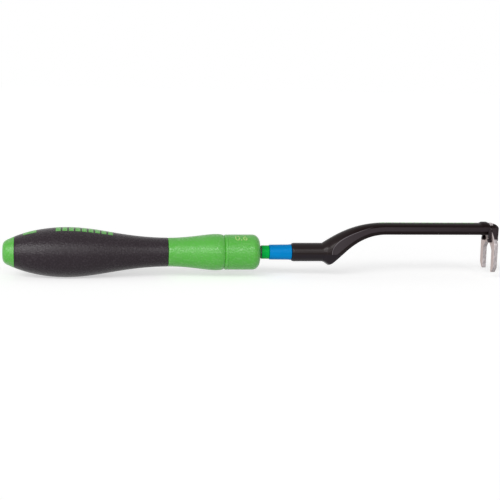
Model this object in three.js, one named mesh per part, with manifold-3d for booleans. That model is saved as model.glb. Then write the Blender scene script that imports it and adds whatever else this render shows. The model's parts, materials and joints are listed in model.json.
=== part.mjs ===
// Preset torque wrench: a torque handle turned about its own axis, with an exchangeable open-jaw key.
// Millimetres. X runs from the butt face along the tool's axis to the jaw, Z is up, the prongs point down.
import * as THREE from 'three';
import { mergeVertices } from 'three/addons/utils/BufferGeometryUtils.js';
import Module from 'manifold-3d';

const wasm = await Module();
wasm.setup();

// Clearances
const FIT = 0.3; // radial gap between pieces that slide or press into each other
const SEAT = 0.1; // axial gap between faces that rest on each other

// Handle outline
const BUTT_FLAT_R = 3.2;
const BUTT_CORNER = 3.4;
const BUTT_SLOPE = 0.5;
const BUTT_REACH = 10.8;
const END_CAP_LENGTH = 6;
const BELLY_X = 32.3;
const BELLY_R = 12.97;
const BELLY_REAR_REACH = 8;
const BELLY_FRONT_REACH = 17;
const NECK_X = 85.4;
const NECK_R = 7.51;
const NECK_REAR_REACH = 23.8;
const NECK_FRONT_REACH = 9.2;
const GRIP_SEAM_X = 84.4;
const COLLAR_X = 109;
const COLLAR_R = 9.51;
const COLLAR_REACH = 4;
const COLLAR_FRONT_REACH = 3.4;
const GROOVE_X = 113.65;
const GROOVE_DEPTH = 0.6;
const FRONT_CAP_LENGTH = 18.65;
const FRONT_CAP_R = 9.24;
const FRONT_CAP_ROUND = 3.8;
const FRONT_CAP_WALL = 1.2;
const GRIP_THICKNESS = 1.9;
const CORE_BORE_R = 3.5;
const END_PLUG_LENGTH = 8;

// Slip clutch
const CAVITY_WALL = 1;
const SLEEVE_R = 6.2;
const SLEEVE_WALL = 0.8;
const LOCK_INSET = 0.3;
const LOCK_NUT_T = 1.8;
const LOCK_NUT_BORE_R = 2.8;
const PRESET_SCREW_T = 3.6;
const PRESET_SOCKET_AF = 4;
const PRESET_SOCKET_DEPTH = 2.4;
const WASHER_T = 0.9;
const WASHER_BORE_R = 2.6;
const SPRING_LENGTH = 17.8;
const SPRING_WIRE = 1.2;
const SPRING_MEAN_R = 4.2;
const SPRING_COILS = 7;
const DRIVE_RING_T = 4;
const DRIVE_RING_BORE_R = 2.9;
const TOOTH_COUNT = 12;
const TOOTH_HEIGHT = 1.2;
const TOOTH_GAP = 0.3;
const TOOTH_TIP_SHARE = 0.16;
const TOOTH_ROOT_SHARE = 0.36;
const KEY_COUNT = 3;
const KEY_WIDTH = 1.8;
const KEY_LENGTH = 2.6;
const KEY_ROOT = 1;
const OUTPUT_DISC_T = 3;
const DISC_PIN_R = 0.6;
const DISC_PIN_INSET = 0.3;
const BUSH_WALL = 1.24;
const BUSH_FLANGE_T = 1;
const BUSH_FLANGE_WIDTH = 1.1;
const SPIGOT_WALL = 1.2;
const SPIGOT_SHORT = 0.3;

// Output spindle and the key that plugs into it
const SPINDLE_R = 3.36;
const SPINDLE_NOSE = 0.8;
const SPINDLE_REAR_INSET = 0.3;
const SHAFT_AF = 4;
const SHAFT_CHAMFER = 0.5;
const SOCKET_DEPTH = 11.7;
const MAGNET_R = 1.6;
const MAGNET_T = 0.9;
const MARKER_RING_R = 3.5;
const MARKER_RING_LENGTH = 4.1;
const MARKER_SLEEVE_R = 3.85;
const MARKER_SLEEVE_LENGTH = 11.7;
const MARKER_EDGE = 0.3;
const SHAFT_IN_BARREL = 14.6;

// Cranked arm
const BARREL_R = 4.92;
const BARREL_LENGTH = 16.5;
const BARREL_CHAMFER = 0.8;
const HEEL_STEP = 4.3;
const HEEL_DROP = 2.37;
const HEEL_FLARE = 0.8;
const SIDE_START = 8;
const CRANK_TOP_STEEP = 7.3;
const CRANK_TOP_REACH = 10.9;
const CRANK_TOP_EASE = 12.9;
const CRANK_LENGTH = 34;
const CRANK_UNDER_STEEP = 2.7;
const CRANK_UNDER_REACH = 4.4;
const CRANK_UNDER_EASE = 17.1;
const ARM_TOP_Z = 15.84;
const ARM_HEIGHT = 6.12;
const ARM_WIDTH = 10.4;
const ARM_UNDER_WIDTH = 6.6;
const ARM_CROWN = 2.1;
const CROWN_ANGLE = Math.PI / 3;
const ARM_SIDE = 1.9;
const CRANK_CROWN_SHARE = 0.24;
const CRANK_BEVEL_SHARE = 0.26;
const HEEL_CROWN_SHARE = 0.43;
const CRANK_BROAD_STEP = 10;
const ARM_END_RISE = 0.7;
const ARM_END_LENGTH = 6;
const JAW_X = 256.7;

// Steel jaw
const JAW_AF = 13;
const JAW_CLEARANCE = 0.2;
const JAW_PLATE_T = 2.2;
const PRONG_WIDTH = 4.1;
const PRONG_TIP_Z = -9.7;
const PRONG_TIP_CHAMFER = 3;
const JAW_FLAT_TOP_Z = 2.1;
const JAW_FACET = 3.2;
const SHOULDER_Z = 6;
const SHOULDER_TOP_Z = 13.6;
const SHOULDER_TOP_WIDTH = 8.4;
const TAB_WIDTH = 3.6;
const TAB_SINK = 0.15;

// Moulded end that wraps the jaw plate
const COVER_TOP_T = 1.6;
const COVER_UNDER_T = 0.35;
const COVER_TOP_WIDTH = 11.2;
const COVER_UNDER_WIDTH = 16.6;
const COVER_ROUND = 1.8;
const COVER_UNDER_Z = 7.2;
const COVER_TOP_Z = 15.6;
const BRIDGE_HEIGHT = 0.8;
const BRIDGE_WIDTH = 8.4;
const PEG_Y = 5.25;
const PEG_Z = 7.2;
const PEG_R = 1.25;
const PEG_REACH = 1.9;
const GUSSET_LENGTH = 3.6;
const GUSSET_WIDTH = 2.2;
const GUSSET_UNDER = 1.1;

// Facets
const OUTER_SIDES = 32;
const INNER_SIDES = 24;
const OUTLINE_STEP = 4;
const COLLAR_STEP = 1.2;
const HIDDEN_STEP = 8;
const ARC_STEPS = 5;
const CRANK_STEP = 2;
const WIRE_STEPS = 8;
const WIRE_SIDES = 5;
const MERGE_DISTANCE = 1e-4;
const CURVE_TOLERANCE = 1e-7;

// Solids as manifold bodies

function bodyOf(geometry) {
  const bare = geometry.clone();
  for (const name of Object.keys(bare.attributes)) {
    if (name !== 'position') bare.deleteAttribute(name);
  }
  const merged = mergeVertices(bare, MERGE_DISTANCE);
  const at = merged.attributes.position;
  const triangles = [];
  let volume = 0;
  for (let i = 0; i < merged.index.count; i += 3) {
    const [a, b, c] = [0, 1, 2].map((k) => merged.index.getX(i + k));
    if (a === b || b === c || c === a) continue;
    triangles.push([a, b, c]);
    const [p, q, r] = [a, b, c].map((k) => new THREE.Vector3().fromBufferAttribute(at, k));
    volume += p.dot(q.cross(r)) / 6;
  }
  const triVerts = triangles.flatMap(([a, b, c]) => (volume < 0 ? [a, c, b] : [a, b, c]));
  return new wasm.Manifold(
    new wasm.Mesh({
      numProp: 3,
      vertProperties: new Float32Array(at.array),
      triVerts: new Uint32Array(triVerts),
    }),
  );
}

function geometryOf(body) {
  const mesh = body.getMesh();
  const geometry = new THREE.BufferGeometry();
  geometry.setAttribute('position', new THREE.BufferAttribute(new Float32Array(mesh.vertProperties), 3));
  geometry.setIndex(new THREE.BufferAttribute(new Uint32Array(mesh.triVerts), 1));
  geometry.computeVertexNormals();
  return geometry;
}

// Turns a profile of [x, radius] points about the X axis; the profile closes on itself or on the axis.
function turned(profile, sides) {
  const points = profile.map(([x, r]) => new THREE.Vector2(r, x));
  if (points[0].x > 0) points.push(points[0].clone());
  const lathe = new THREE.LatheGeometry(points, sides, Math.PI / sides);
  const yToX = new THREE.Matrix4().set(0, 1, 0, 0, 0, 0, 1, 0, 1, 0, 0, 0, 0, 0, 0, 1);
  return bodyOf(lathe.applyMatrix4(yToX));
}

// Extrudes an outline drawn in (Y, Z) from x0 to x1.
function alongX(shape, x0, x1) {
  const options = { depth: x1 - x0, bevelEnabled: false, curveSegments: ARC_STEPS };
  const solid = new THREE.ExtrudeGeometry(shape, options);
  const zToX = new THREE.Matrix4().set(0, 0, 1, x0, 1, 0, 0, 0, 0, 1, 0, 0, 0, 0, 0, 1);
  return bodyOf(solid.applyMatrix4(zToX));
}

function tube(x0, x1, innerR, outerR, sides) {
  return turned([[x0, innerR], [x0, outerR], [x1, outerR], [x1, innerR]], sides);
}

function rod(x0, x1, r, sides) {
  return turned([[x0, 0], [x0, r], [x1, r], [x1, 0]], sides);
}

function polygon(points) {
  return new THREE.Shape(points.map(([y, z]) => new THREE.Vector2(y, z)));
}

function hexagon(acrossFlats) {
  const corner = acrossFlats / Math.sqrt(3);
  const angles = [0, 1, 2, 3, 4, 5].map((k) => (k * Math.PI) / 3);
  return polygon(angles.map((angle) => [corner * Math.cos(angle), corner * Math.sin(angle)]));
}

function hexBar(acrossFlats, x0, x1) {
  return alongX(hexagon(acrossFlats), x0, x1);
}

function block(x0, x1, y0, y1, z0, z1) {
  const box = new THREE.BoxGeometry(x1 - x0, y1 - y0, z1 - z0);
  return bodyOf(box.translate((x0 + x1) / 2, (y0 + y1) / 2, (z0 + z1) / 2));
}

function aboutX(body, angle) {
  const geometry = geometryOf(body);
  return bodyOf(geometry.rotateX(angle));
}

// Handle outline as curves with level tangents at the belly, the neck and the collar

function cubic(x0, r0, x1, r1, x2, r2, x3, r3) {
  return new THREE.CubicBezierCurve(
    new THREE.Vector2(x0, r0),
    new THREE.Vector2(x1, r1),
    new THREE.Vector2(x2, r2),
    new THREE.Vector2(x3, r3),
  );
}

const buttTilt = Math.atan(BUTT_SLOPE);
const shoulderX = BUTT_CORNER * (1 - Math.sin(buttTilt));
const shoulderR = BUTT_FLAT_R + BUTT_CORNER * Math.cos(buttTilt);
const grooveR = FRONT_CAP_R - GROOVE_DEPTH;
const handleCurves = [
  cubic(
    shoulderX, shoulderR, shoulderX + BUTT_REACH, shoulderR + BUTT_REACH * BUTT_SLOPE,
    BELLY_X - BELLY_REAR_REACH, BELLY_R, BELLY_X, BELLY_R,
  ),
  cubic(
    BELLY_X, BELLY_R, BELLY_X + BELLY_FRONT_REACH, BELLY_R,
    NECK_X - NECK_REAR_REACH, NECK_R, NECK_X, NECK_R,
  ),
  cubic(
    NECK_X, NECK_R, NECK_X + NECK_FRONT_REACH, NECK_R,
    COLLAR_X - COLLAR_REACH, COLLAR_R, COLLAR_X, COLLAR_R,
  ),
  cubic(
    COLLAR_X, COLLAR_R, COLLAR_X + COLLAR_FRONT_REACH, COLLAR_R,
    GROOVE_X - GROOVE_DEPTH, FRONT_CAP_R, GROOVE_X, grooveR,
  ),
];

// The height of a list of joined curves at x.
function heightAt(curves, x) {
  const curve = curves.find((c) => x <= c.v3.x) ?? curves[curves.length - 1];
  let low = 0;
  let high = 1;
  while (high - low > CURVE_TOLERANCE) {
    const middle = (low + high) / 2;
    if (curve.getPoint(middle).x < x) low = middle;
    else high = middle;
  }
  return curve.getPoint(low).y;
}

function handleRadius(x) {
  return heightAt(handleCurves, x);
}

function stations(x0, x1, step) {
  const count = Math.max(2, Math.ceil((x1 - x0) / step));
  return Array.from({ length: count + 1 }, (_, k) => x0 + ((x1 - x0) * k) / count);
}

function outline(x0, x1) {
  return stations(x0, x1, OUTLINE_STEP).map((x) => [x, handleRadius(x)]);
}

function hiddenOutline(x0, x1, inset) {
  return stations(x0, x1, HIDDEN_STEP).map((x) => [x, handleRadius(x) - inset]);
}

// Points of an arc about (x, r).
function arc(x, r, radius, startAngle, endAngle) {
  return Array.from({ length: ARC_STEPS + 1 }, (_, k) => {
    const angle = startAngle + ((endAngle - startAngle) * k) / ARC_STEPS;
    return [x + radius * Math.cos(angle), r + radius * Math.sin(angle)];
  });
}

// Places along the axis, from the butt face forward
const frontX = GROOVE_X + FRONT_CAP_LENGTH;
const cavityX = GRIP_SEAM_X + CAVITY_WALL;
const cavityR = SLEEVE_R + FIT;
const sleeveBoreR = SLEEVE_R - SLEEVE_WALL;
const clutchR = sleeveBoreR - FIT;
const sleeveX0 = cavityX + SEAT;
const lockX0 = sleeveX0 + LOCK_INSET;
const presetX0 = lockX0 + LOCK_NUT_T + SEAT;
const rearWasherX0 = presetX0 + PRESET_SCREW_T + SEAT;
const springX0 = rearWasherX0 + WASHER_T + SEAT;
const springX1 = springX0 + SPRING_LENGTH;
const frontWasherX0 = springX1 + SEAT;
const ringX0 = frontWasherX0 + WASHER_T + SEAT;
const ringRootX = ringX0 + DRIVE_RING_T;
const discRootX = ringRootX + TOOTH_HEIGHT + TOOTH_GAP;
const discX1 = discRootX + OUTPUT_DISC_T;
const thrustX0 = discX1 + SEAT;
const flangeX0 = thrustX0 + WASHER_T + SEAT;
const flangeX1 = flangeX0 + BUSH_FLANGE_T;
const sleeveX1 = flangeX0 - SEAT;
const spigotR = cavityR + SPIGOT_WALL;
const spigotX1 = flangeX0 + SPIGOT_SHORT;
const bushBoreR = SPINDLE_R + FIT;
const bushR = bushBoreR + BUSH_WALL;
const flangeR = bushR + BUSH_FLANGE_WIDTH;
const bushX1 = frontX - FRONT_CAP_WALL - SEAT;
const spindleX0 = discRootX + SPINDLE_REAR_INSET;
const spindleX1 = frontX + SPINDLE_NOSE;
const socketAf = SHAFT_AF + 2 * FIT;
const socketX0 = spindleX1 - SOCKET_DEPTH;
const shaftX0 = socketX0 + FIT;
const markerRingX0 = spindleX1 + FIT;
const markerSleeveX0 = markerRingX0 + MARKER_RING_LENGTH + SEAT;
const barrelX0 = markerSleeveX0 + MARKER_SLEEVE_LENGTH + SEAT;
const barrelX1 = barrelX0 + BARREL_LENGTH;
const shaftX1 = barrelX0 + SHAFT_IN_BARREL;
const pinX = discRootX + OUTPUT_DISC_T / 2;
const keySlotX0 = ringX0 - TOOTH_HEIGHT - FIT;

// Handle shells

function endCap() {
  const plugR = CORE_BORE_R - FIT;
  return turned(
    [
      [0, 0],
      ...arc(BUTT_CORNER, BUTT_FLAT_R, BUTT_CORNER, Math.PI, Math.PI / 2 + buttTilt),
      ...outline(shoulderX, END_CAP_LENGTH).slice(1),
      [END_CAP_LENGTH, plugR],
      [END_CAP_LENGTH + END_PLUG_LENGTH, plugR],
      [END_CAP_LENGTH + END_PLUG_LENGTH, 0],
    ],
    OUTER_SIDES,
  );
}

function softGrip() {
  const x0 = END_CAP_LENGTH + SEAT;
  const x1 = GRIP_SEAM_X - SEAT;
  return turned([...outline(x0, x1), ...hiddenOutline(x0, x1, GRIP_THICKNESS).reverse()], OUTER_SIDES);
}

function handleCore() {
  const x0 = END_CAP_LENGTH + SEAT;
  return turned(
    [
      [x0, CORE_BORE_R],
      ...hiddenOutline(x0, GRIP_SEAM_X, GRIP_THICKNESS + FIT),
      ...outline(GRIP_SEAM_X, COLLAR_X),
      ...stations(COLLAR_X, GROOVE_X, COLLAR_STEP).slice(1).map((x) => [x, handleRadius(x)]),
      [GROOVE_X, spigotR],
      [spigotX1, spigotR],
      [spigotX1, cavityR],
      [cavityX, cavityR],
      [cavityX, CORE_BORE_R],
    ],
    OUTER_SIDES,
  );
}

function frontCap() {
  const x0 = GROOVE_X + SEAT;
  const roundX = frontX - FRONT_CAP_ROUND;
  const holeR = SPINDLE_R + FIT;
  return turned(
    [
      [x0, spigotR + FIT],
      [x0, grooveR],
      [x0 + GROOVE_DEPTH, FRONT_CAP_R],
      ...arc(roundX, FRONT_CAP_R - FRONT_CAP_ROUND, FRONT_CAP_ROUND, Math.PI / 2, 0),
      [frontX, holeR],
      [frontX - FRONT_CAP_WALL, holeR],
      [frontX - FRONT_CAP_WALL, bushR + FIT],
      [flangeX1 + SEAT, bushR + FIT],
      [flangeX1 + SEAT, flangeR + FIT],
      [spigotX1 + SEAT, flangeR + FIT],
      [spigotX1 + SEAT, spigotR + FIT],
    ],
    OUTER_SIDES,
  );
}

// Clutch pieces

function keysAround(x0, x1, width, outerR) {
  const spoke = block(x0, x1, -width / 2, width / 2, clutchR - KEY_ROOT, outerR);
  return Array.from({ length: KEY_COUNT }, (_, k) => aboutX(spoke, (2 * Math.PI * k) / KEY_COUNT));
}

function clutchSleeve() {
  const sleeve = tube(sleeveX0, sleeveX1, sleeveBoreR, SLEEVE_R, INNER_SIDES);
  const slots = keysAround(keySlotX0, sleeveX1 + FIT, KEY_WIDTH + 2 * FIT, SLEEVE_R + FIT);
  return slots.reduce((body, slot) => body.subtract(slot), sleeve);
}

function lockNut() {
  return tube(lockX0, lockX0 + LOCK_NUT_T, LOCK_NUT_BORE_R, clutchR, INNER_SIDES);
}

function presetScrew() {
  const screw = rod(presetX0, presetX0 + PRESET_SCREW_T, clutchR, INNER_SIDES);
  return screw.subtract(hexBar(PRESET_SOCKET_AF, presetX0 - FIT, presetX0 + PRESET_SOCKET_DEPTH));
}

function washer(x0, boreR) {
  return tube(x0, x0 + WASHER_T, boreR, clutchR, INNER_SIDES);
}

// One unbroken round wire wound about the X axis, as rings of points along a helix.
function springPoint(turn) {
  const angle = 2 * Math.PI * turn;
  const x0 = springX0 + SPRING_WIRE / 2;
  const x = x0 + ((SPRING_LENGTH - SPRING_WIRE) * turn) / SPRING_COILS;
  return new THREE.Vector3(x, SPRING_MEAN_R * Math.cos(angle), SPRING_MEAN_R * Math.sin(angle));
}

function clutchSpring() {
  const rings = SPRING_COILS * WIRE_STEPS + 1;
  const positions = [];
  for (let i = 0; i < rings; i += 1) {
    const centre = springPoint(i / WIRE_STEPS);
    const outward = new THREE.Vector3(0, centre.y, centre.z).normalize();
    for (let k = 0; k < WIRE_SIDES; k += 1) {
      const angle = (2 * Math.PI * k) / WIRE_SIDES;
      const point = centre.clone().addScaledVector(outward, (SPRING_WIRE / 2) * Math.cos(angle));
      point.x += (SPRING_WIRE / 2) * Math.sin(angle);
      positions.push(point.x, point.y, point.z);
    }
  }
  return bodyOf(stackedRings(positions, rings, WIRE_SIDES));
}

// A closed skin over rings of equally many points, with a fan over each end ring.
function stackedRings(positions, rings, sides) {
  const index = [];
  for (let i = 0; i + 1 < rings; i += 1) {
    for (let k = 0; k < sides; k += 1) {
      const a = i * sides + k;
      const b = i * sides + ((k + 1) % sides);
      index.push(a, b, a + sides, b, b + sides, a + sides);
    }
  }
  const last = (rings - 1) * sides;
  for (let k = 1; k + 1 < sides; k += 1) {
    index.push(0, k + 1, k, last, last + k, last + k + 1);
  }
  const geometry = new THREE.BufferGeometry();
  geometry.setAttribute('position', new THREE.Float32BufferAttribute(positions, 3));
  geometry.setIndex(index);
  return geometry;
}

// The least distance between turns of the spring's wire, skin to skin.
function springSelfGap() {
  const points = stations(0, SPRING_COILS, 1 / WIRE_STEPS).map(springPoint);
  let least = Infinity;
  points.forEach((p, i) => {
    const others = points.slice(i + WIRE_STEPS - 1);
    least = Math.min(least, ...others.map((q) => p.distanceTo(q)));
  });
  return least - SPRING_WIRE;
}

// A crown of end-face teeth on a ring: the toothed face lies between rootX and rootX + height.
function toothedRing(backX, rootX, height, innerR, outerR, shift) {
  const pitch = (2 * Math.PI) / TOOTH_COUNT;
  const flank = (1 - TOOTH_TIP_SHARE - TOOTH_ROOT_SHARE) / 2;
  const marks = [
    [0, 0],
    [TOOTH_ROOT_SHARE, 0],
    [TOOTH_ROOT_SHARE + flank, 1],
    [TOOTH_ROOT_SHARE + flank + TOOTH_TIP_SHARE, 1],
  ];
  const loops = { backIn: [], backOut: [], faceIn: [], faceOut: [] };
  for (let tooth = 0; tooth < TOOTH_COUNT; tooth += 1) {
    for (const [share, rise] of marks) {
      const angle = pitch * (tooth + share - TOOTH_ROOT_SHARE / 2 + shift);
      const x = rootX + height * rise;
      loops.backIn.push([backX, innerR * Math.cos(angle), innerR * Math.sin(angle)]);
      loops.backOut.push([backX, outerR * Math.cos(angle), outerR * Math.sin(angle)]);
      loops.faceIn.push([x, innerR * Math.cos(angle), innerR * Math.sin(angle)]);
      loops.faceOut.push([x, outerR * Math.cos(angle), outerR * Math.sin(angle)]);
    }
  }
  const order = [loops.backIn, loops.backOut, loops.faceOut, loops.faceIn];
  const count = TOOTH_COUNT * marks.length;
  const index = [];
  for (let k = 0; k < count; k += 1) {
    const next = (k + 1) % count;
    for (let side = 0; side < order.length; side += 1) {
      const other = (side + 1) % order.length;
      const [a, b] = [side * count + k, side * count + next];
      const [c, d] = [other * count + k, other * count + next];
      index.push(a, b, c, b, d, c);
    }
  }
  const geometry = new THREE.BufferGeometry();
  geometry.setAttribute('position', new THREE.Float32BufferAttribute(order.flat(2), 3));
  geometry.setIndex(index);
  return bodyOf(geometry);
}

function driveRing() {
  const ring = toothedRing(ringX0, ringRootX, TOOTH_HEIGHT, DRIVE_RING_BORE_R, clutchR, 0);
  const keyX0 = ringX0 + (DRIVE_RING_T - KEY_LENGTH) / 2;
  const keys = keysAround(keyX0, keyX0 + KEY_LENGTH, KEY_WIDTH, SLEEVE_R);
  return keys.reduce((body, key) => body.add(key), ring);
}

// A round bar across the tool's axis at the disc's middle.
function crossBar(radius, halfLength) {
  const bar = new THREE.CylinderGeometry(radius, radius, 2 * halfLength, INNER_SIDES);
  return bodyOf(bar.translate(pinX, 0, 0));
}

function pinHole() {
  return crossBar(DISC_PIN_R + FIT, clutchR + FIT);
}

function outputDisc() {
  return toothedRing(discX1, discRootX, -TOOTH_HEIGHT, SPINDLE_R + FIT, clutchR, 0.5).subtract(pinHole());
}

function discPin() {
  return crossBar(DISC_PIN_R, clutchR - DISC_PIN_INSET);
}

function outputSpindle() {
  const magnetX0 = socketX0 - MAGNET_T - SEAT;
  return rod(spindleX0, spindleX1, SPINDLE_R, INNER_SIDES)
    .subtract(hexBar(socketAf, socketX0, spindleX1 + FIT))
    .subtract(rod(magnetX0, socketX0 + FIT, MAGNET_R + FIT, INNER_SIDES))
    .subtract(pinHole());
}

function socketMagnet() {
  return rod(socketX0 - MAGNET_T, socketX0, MAGNET_R, INNER_SIDES);
}

function bearingBush() {
  return turned(
    [
      [flangeX0, bushBoreR],
      [flangeX0, flangeR],
      [flangeX1, flangeR],
      [flangeX1, bushR],
      [bushX1, bushR],
      [bushX1, bushBoreR],
    ],
    INNER_SIDES,
  );
}

// Exchangeable key

function bladeShaft() {
  const cornerR = SHAFT_AF / Math.sqrt(3) + FIT;
  const envelope = turned(
    [
      [shaftX0, 0],
      [shaftX0, SHAFT_AF / 2 - SHAFT_CHAMFER],
      [shaftX0 + cornerR - SHAFT_AF / 2 + SHAFT_CHAMFER, cornerR],
      [shaftX1, cornerR],
      [shaftX1, 0],
    ],
    INNER_SIDES,
  );
  return hexBar(SHAFT_AF, shaftX0, shaftX1).intersect(envelope);
}

function marker(x0, length, radius) {
  const x1 = x0 + length;
  const body = turned(
    [
      [x0, 0],
      [x0, radius - MARKER_EDGE],
      [x0 + MARKER_EDGE, radius],
      [x1 - MARKER_EDGE, radius],
      [x1, radius - MARKER_EDGE],
      [x1, 0],
    ],
    INNER_SIDES,
  );
  return body.subtract(hexBar(socketAf, x0 - FIT, x1 + FIT));
}

// Side view of the arm: upper and lower outlines from the barrel's end to the straight arm.
const crankX1 = barrelX1 + CRANK_LENGTH;
const heelX = barrelX1 + HEEL_STEP;
const heelZ = -BARREL_R - HEEL_DROP;
const armUnderZ = ARM_TOP_Z - ARM_HEIGHT;
const armX1 = JAW_X - FIT;
const crankTop = [
  cubic(
    barrelX1, BARREL_R, barrelX1 + CRANK_TOP_REACH, BARREL_R + CRANK_TOP_STEEP,
    crankX1 - CRANK_TOP_EASE, ARM_TOP_Z, crankX1, ARM_TOP_Z,
  ),
];
const crankUnder = [
  cubic(
    barrelX1, -BARREL_R, barrelX1 + HEEL_STEP / 3, -BARREL_R,
    heelX - HEEL_STEP / 3, heelZ, heelX, heelZ,
  ),
  cubic(
    heelX, heelZ, heelX + CRANK_UNDER_REACH, heelZ + CRANK_UNDER_STEEP,
    crankX1 - CRANK_UNDER_EASE, armUnderZ, crankX1, armUnderZ,
  ),
];
const SECTION_STEPS = 2 * ARC_STEPS;

// Points on half of an arched crest, between its edge, where it makes a corner, and its top.
function crown(halfWidth, edge, top) {
  const drop = (top - edge) / (1 - Math.cos(CROWN_ANGLE));
  return Array.from({ length: ARC_STEPS - 1 }, (_, k) => {
    const angle = CROWN_ANGLE * (1 - (k + 1) / ARC_STEPS);
    return [(halfWidth * Math.sin(angle)) / Math.sin(CROWN_ANGLE), top - drop * (1 - Math.cos(angle))];
  });
}

// How much of the arm's height its crown and its lower bevel take: the flat side is tallest in the crank.
function sectionShares(x) {
  const { lerp, smoothstep } = THREE.MathUtils;
  const broadX = heelX + CRANK_BROAD_STEP;
  const toBroad = smoothstep(x, heelX, broadX);
  const toArm = smoothstep(x, broadX, crankX1);
  const armBevelShare = 1 - (ARM_CROWN + ARM_SIDE) / ARM_HEIGHT;
  const crownShare = lerp(lerp(HEEL_CROWN_SHARE, CRANK_CROWN_SHARE, toBroad), ARM_CROWN / ARM_HEIGHT, toArm);
  return [crownShare, lerp(CRANK_BEVEL_SHARE, armBevelShare, toArm)];
}

// Half a section of the arm, from the middle of its underside round to its crest: round as far as the heel,
// which flares all round, and with flat sides beyond it.
function armHalfSection(x) {
  const inCrank = Math.min(Math.max(x, barrelX1), crankX1);
  const endX = armX1 - ARM_END_LENGTH;
  const rise = ARM_END_RISE * THREE.MathUtils.smoothstep(x, endX, endX + ARM_END_LENGTH / 2);
  const top = heightAt(crankTop, inCrank) + rise;
  const under = heightAt(crankUnder, inCrank);
  const [crownShare, bevelShare] = sectionShares(x);
  const edge = top - crownShare * (top - under);
  const low = under + bevelShare * (top - under);
  const roundHalf = BARREL_R + HEEL_FLARE * THREE.MathUtils.smoothstep(x, barrelX1, heelX);
  const squared = THREE.MathUtils.smoothstep(x, heelX - SIDE_START / 4, heelX + SIDE_START);
  const square = [
    [0, under],
    [ARM_UNDER_WIDTH / 4, under],
    [ARM_UNDER_WIDTH / 2, under],
    [(ARM_UNDER_WIDTH + ARM_WIDTH) / 4, (under + low) / 2],
    [ARM_WIDTH / 2, low],
    [ARM_WIDTH / 2, edge],
    ...crown(ARM_WIDTH / 2, edge, top),
    [0, top],
  ];
  return square.map(([y, z], k) => {
    const angle = (Math.PI * k) / SECTION_STEPS - Math.PI / 2;
    const round = [roundHalf * Math.cos(angle), (top + under) / 2 + ((top - under) / 2) * Math.sin(angle)];
    return [THREE.MathUtils.lerp(round[0], y, squared), THREE.MathUtils.lerp(round[1], z, squared)];
  });
}

function armBody() {
  const xs = [
    ...stations(barrelX1, heelX, HEEL_STEP / 6),
    ...stations(heelX, crankX1, CRANK_STEP).slice(1),
    armX1 - ARM_END_LENGTH,
    armX1 - ARM_END_LENGTH / 2,
    armX1,
  ];
  const positions = [];
  for (const x of xs) {
    const half = armHalfSection(x);
    const other = half.slice(1, -1).reverse().map(([y, z]) => [-y, z]);
    for (const [y, z] of [...half, ...other]) positions.push(x, y, z);
  }
  const arm = bodyOf(stackedRings(positions, xs.length, 2 * SECTION_STEPS));
  const barrel = turned(
    [
      [barrelX0, 0],
      [barrelX0, BARREL_R - BARREL_CHAMFER],
      [barrelX0 + BARREL_CHAMFER, BARREL_R],
      [barrelX1 + FIT, BARREL_R],
      [barrelX1 + FIT, 0],
    ],
    2 * SECTION_STEPS,
  );
  return arm.add(barrel).subtract(hexBar(socketAf, barrelX0 - FIT, shaftX1 + FIT));
}

// Jaw plate
const jawHalf = (JAW_AF + JAW_CLEARANCE) / 2;
const jawOuter = jawHalf + PRONG_WIDTH;
const crotchZ = JAW_FLAT_TOP_Z + JAW_FACET;
const jawX1 = JAW_X + JAW_PLATE_T;
const tabZ = ARM_TOP_Z - TAB_SINK;

function mirrored(half) {
  return [...half, ...half.slice().reverse().map(([y, z]) => [-y, z])];
}

function jawOutline() {
  return polygon(
    mirrored([
      [jawHalf - JAW_FACET, crotchZ],
      [jawHalf, JAW_FLAT_TOP_Z],
      [jawHalf, PRONG_TIP_Z],
      [jawOuter - PRONG_TIP_CHAMFER, PRONG_TIP_Z],
      [jawOuter, PRONG_TIP_Z + PRONG_TIP_CHAMFER],
      [jawOuter, SHOULDER_Z],
      [SHOULDER_TOP_WIDTH / 2, SHOULDER_TOP_Z],
      [TAB_WIDTH / 2, SHOULDER_TOP_Z],
      [TAB_WIDTH / 2, tabZ],
    ]),
  );
}

function jawFork() {
  const plate = alongX(jawOutline(), JAW_X, jawX1);
  const holes = [-1, 1].map((side) => peg(side, PEG_R + FIT, JAW_X - FIT, jawX1 + FIT));
  return holes.reduce((body, hole) => body.subtract(hole), plate);
}

// Moulded end: a cover in front of the plate, pegs through it and gussets behind it

function peg(side, radius, x0, x1) {
  const round = new THREE.Shape();
  round.absarc(side * PEG_Y, PEG_Z, radius, 0, 2 * Math.PI);
  return alongX(round, x0, x1);
}

// Widens the arm towards the plate on one side, as a wedge seen from above.
function gusset(side) {
  const inner = side * (ARM_WIDTH / 2 - FIT);
  const outer = side * (ARM_WIDTH / 2 + GUSSET_WIDTH);
  const wedge = polygon([[armX1 - GUSSET_LENGTH, inner], [armX1, inner], [armX1, outer]]);
  const z0 = armUnderZ - GUSSET_UNDER;
  const z1 = ARM_TOP_Z - ARM_CROWN - ARM_SIDE / 2;
  const solid = new THREE.ExtrudeGeometry(wedge, { depth: z1 - z0, bevelEnabled: false });
  return bodyOf(solid.translate(0, 0, z0));
}

// The sloped shoulder of the plate, moved outward by grow: its half width at height z.
function shoulderHalf(z, grow) {
  const run = SHOULDER_TOP_WIDTH / 2 - jawOuter;
  const rise = SHOULDER_TOP_Z - SHOULDER_Z;
  const length = Math.hypot(run, rise);
  const startY = jawOuter + (grow * rise) / length;
  const startZ = SHOULDER_Z - (grow * run) / length;
  return startY + ((z - startZ) * run) / rise;
}

function coverOutline() {
  const topHalf = COVER_TOP_WIDTH / 2;
  return polygon(
    mirrored([
      [COVER_UNDER_WIDTH / 2, COVER_UNDER_Z],
      [topHalf, SHOULDER_TOP_Z],
      ...crown(topHalf, SHOULDER_TOP_Z, COVER_TOP_Z),
    ]),
  );
}

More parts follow.
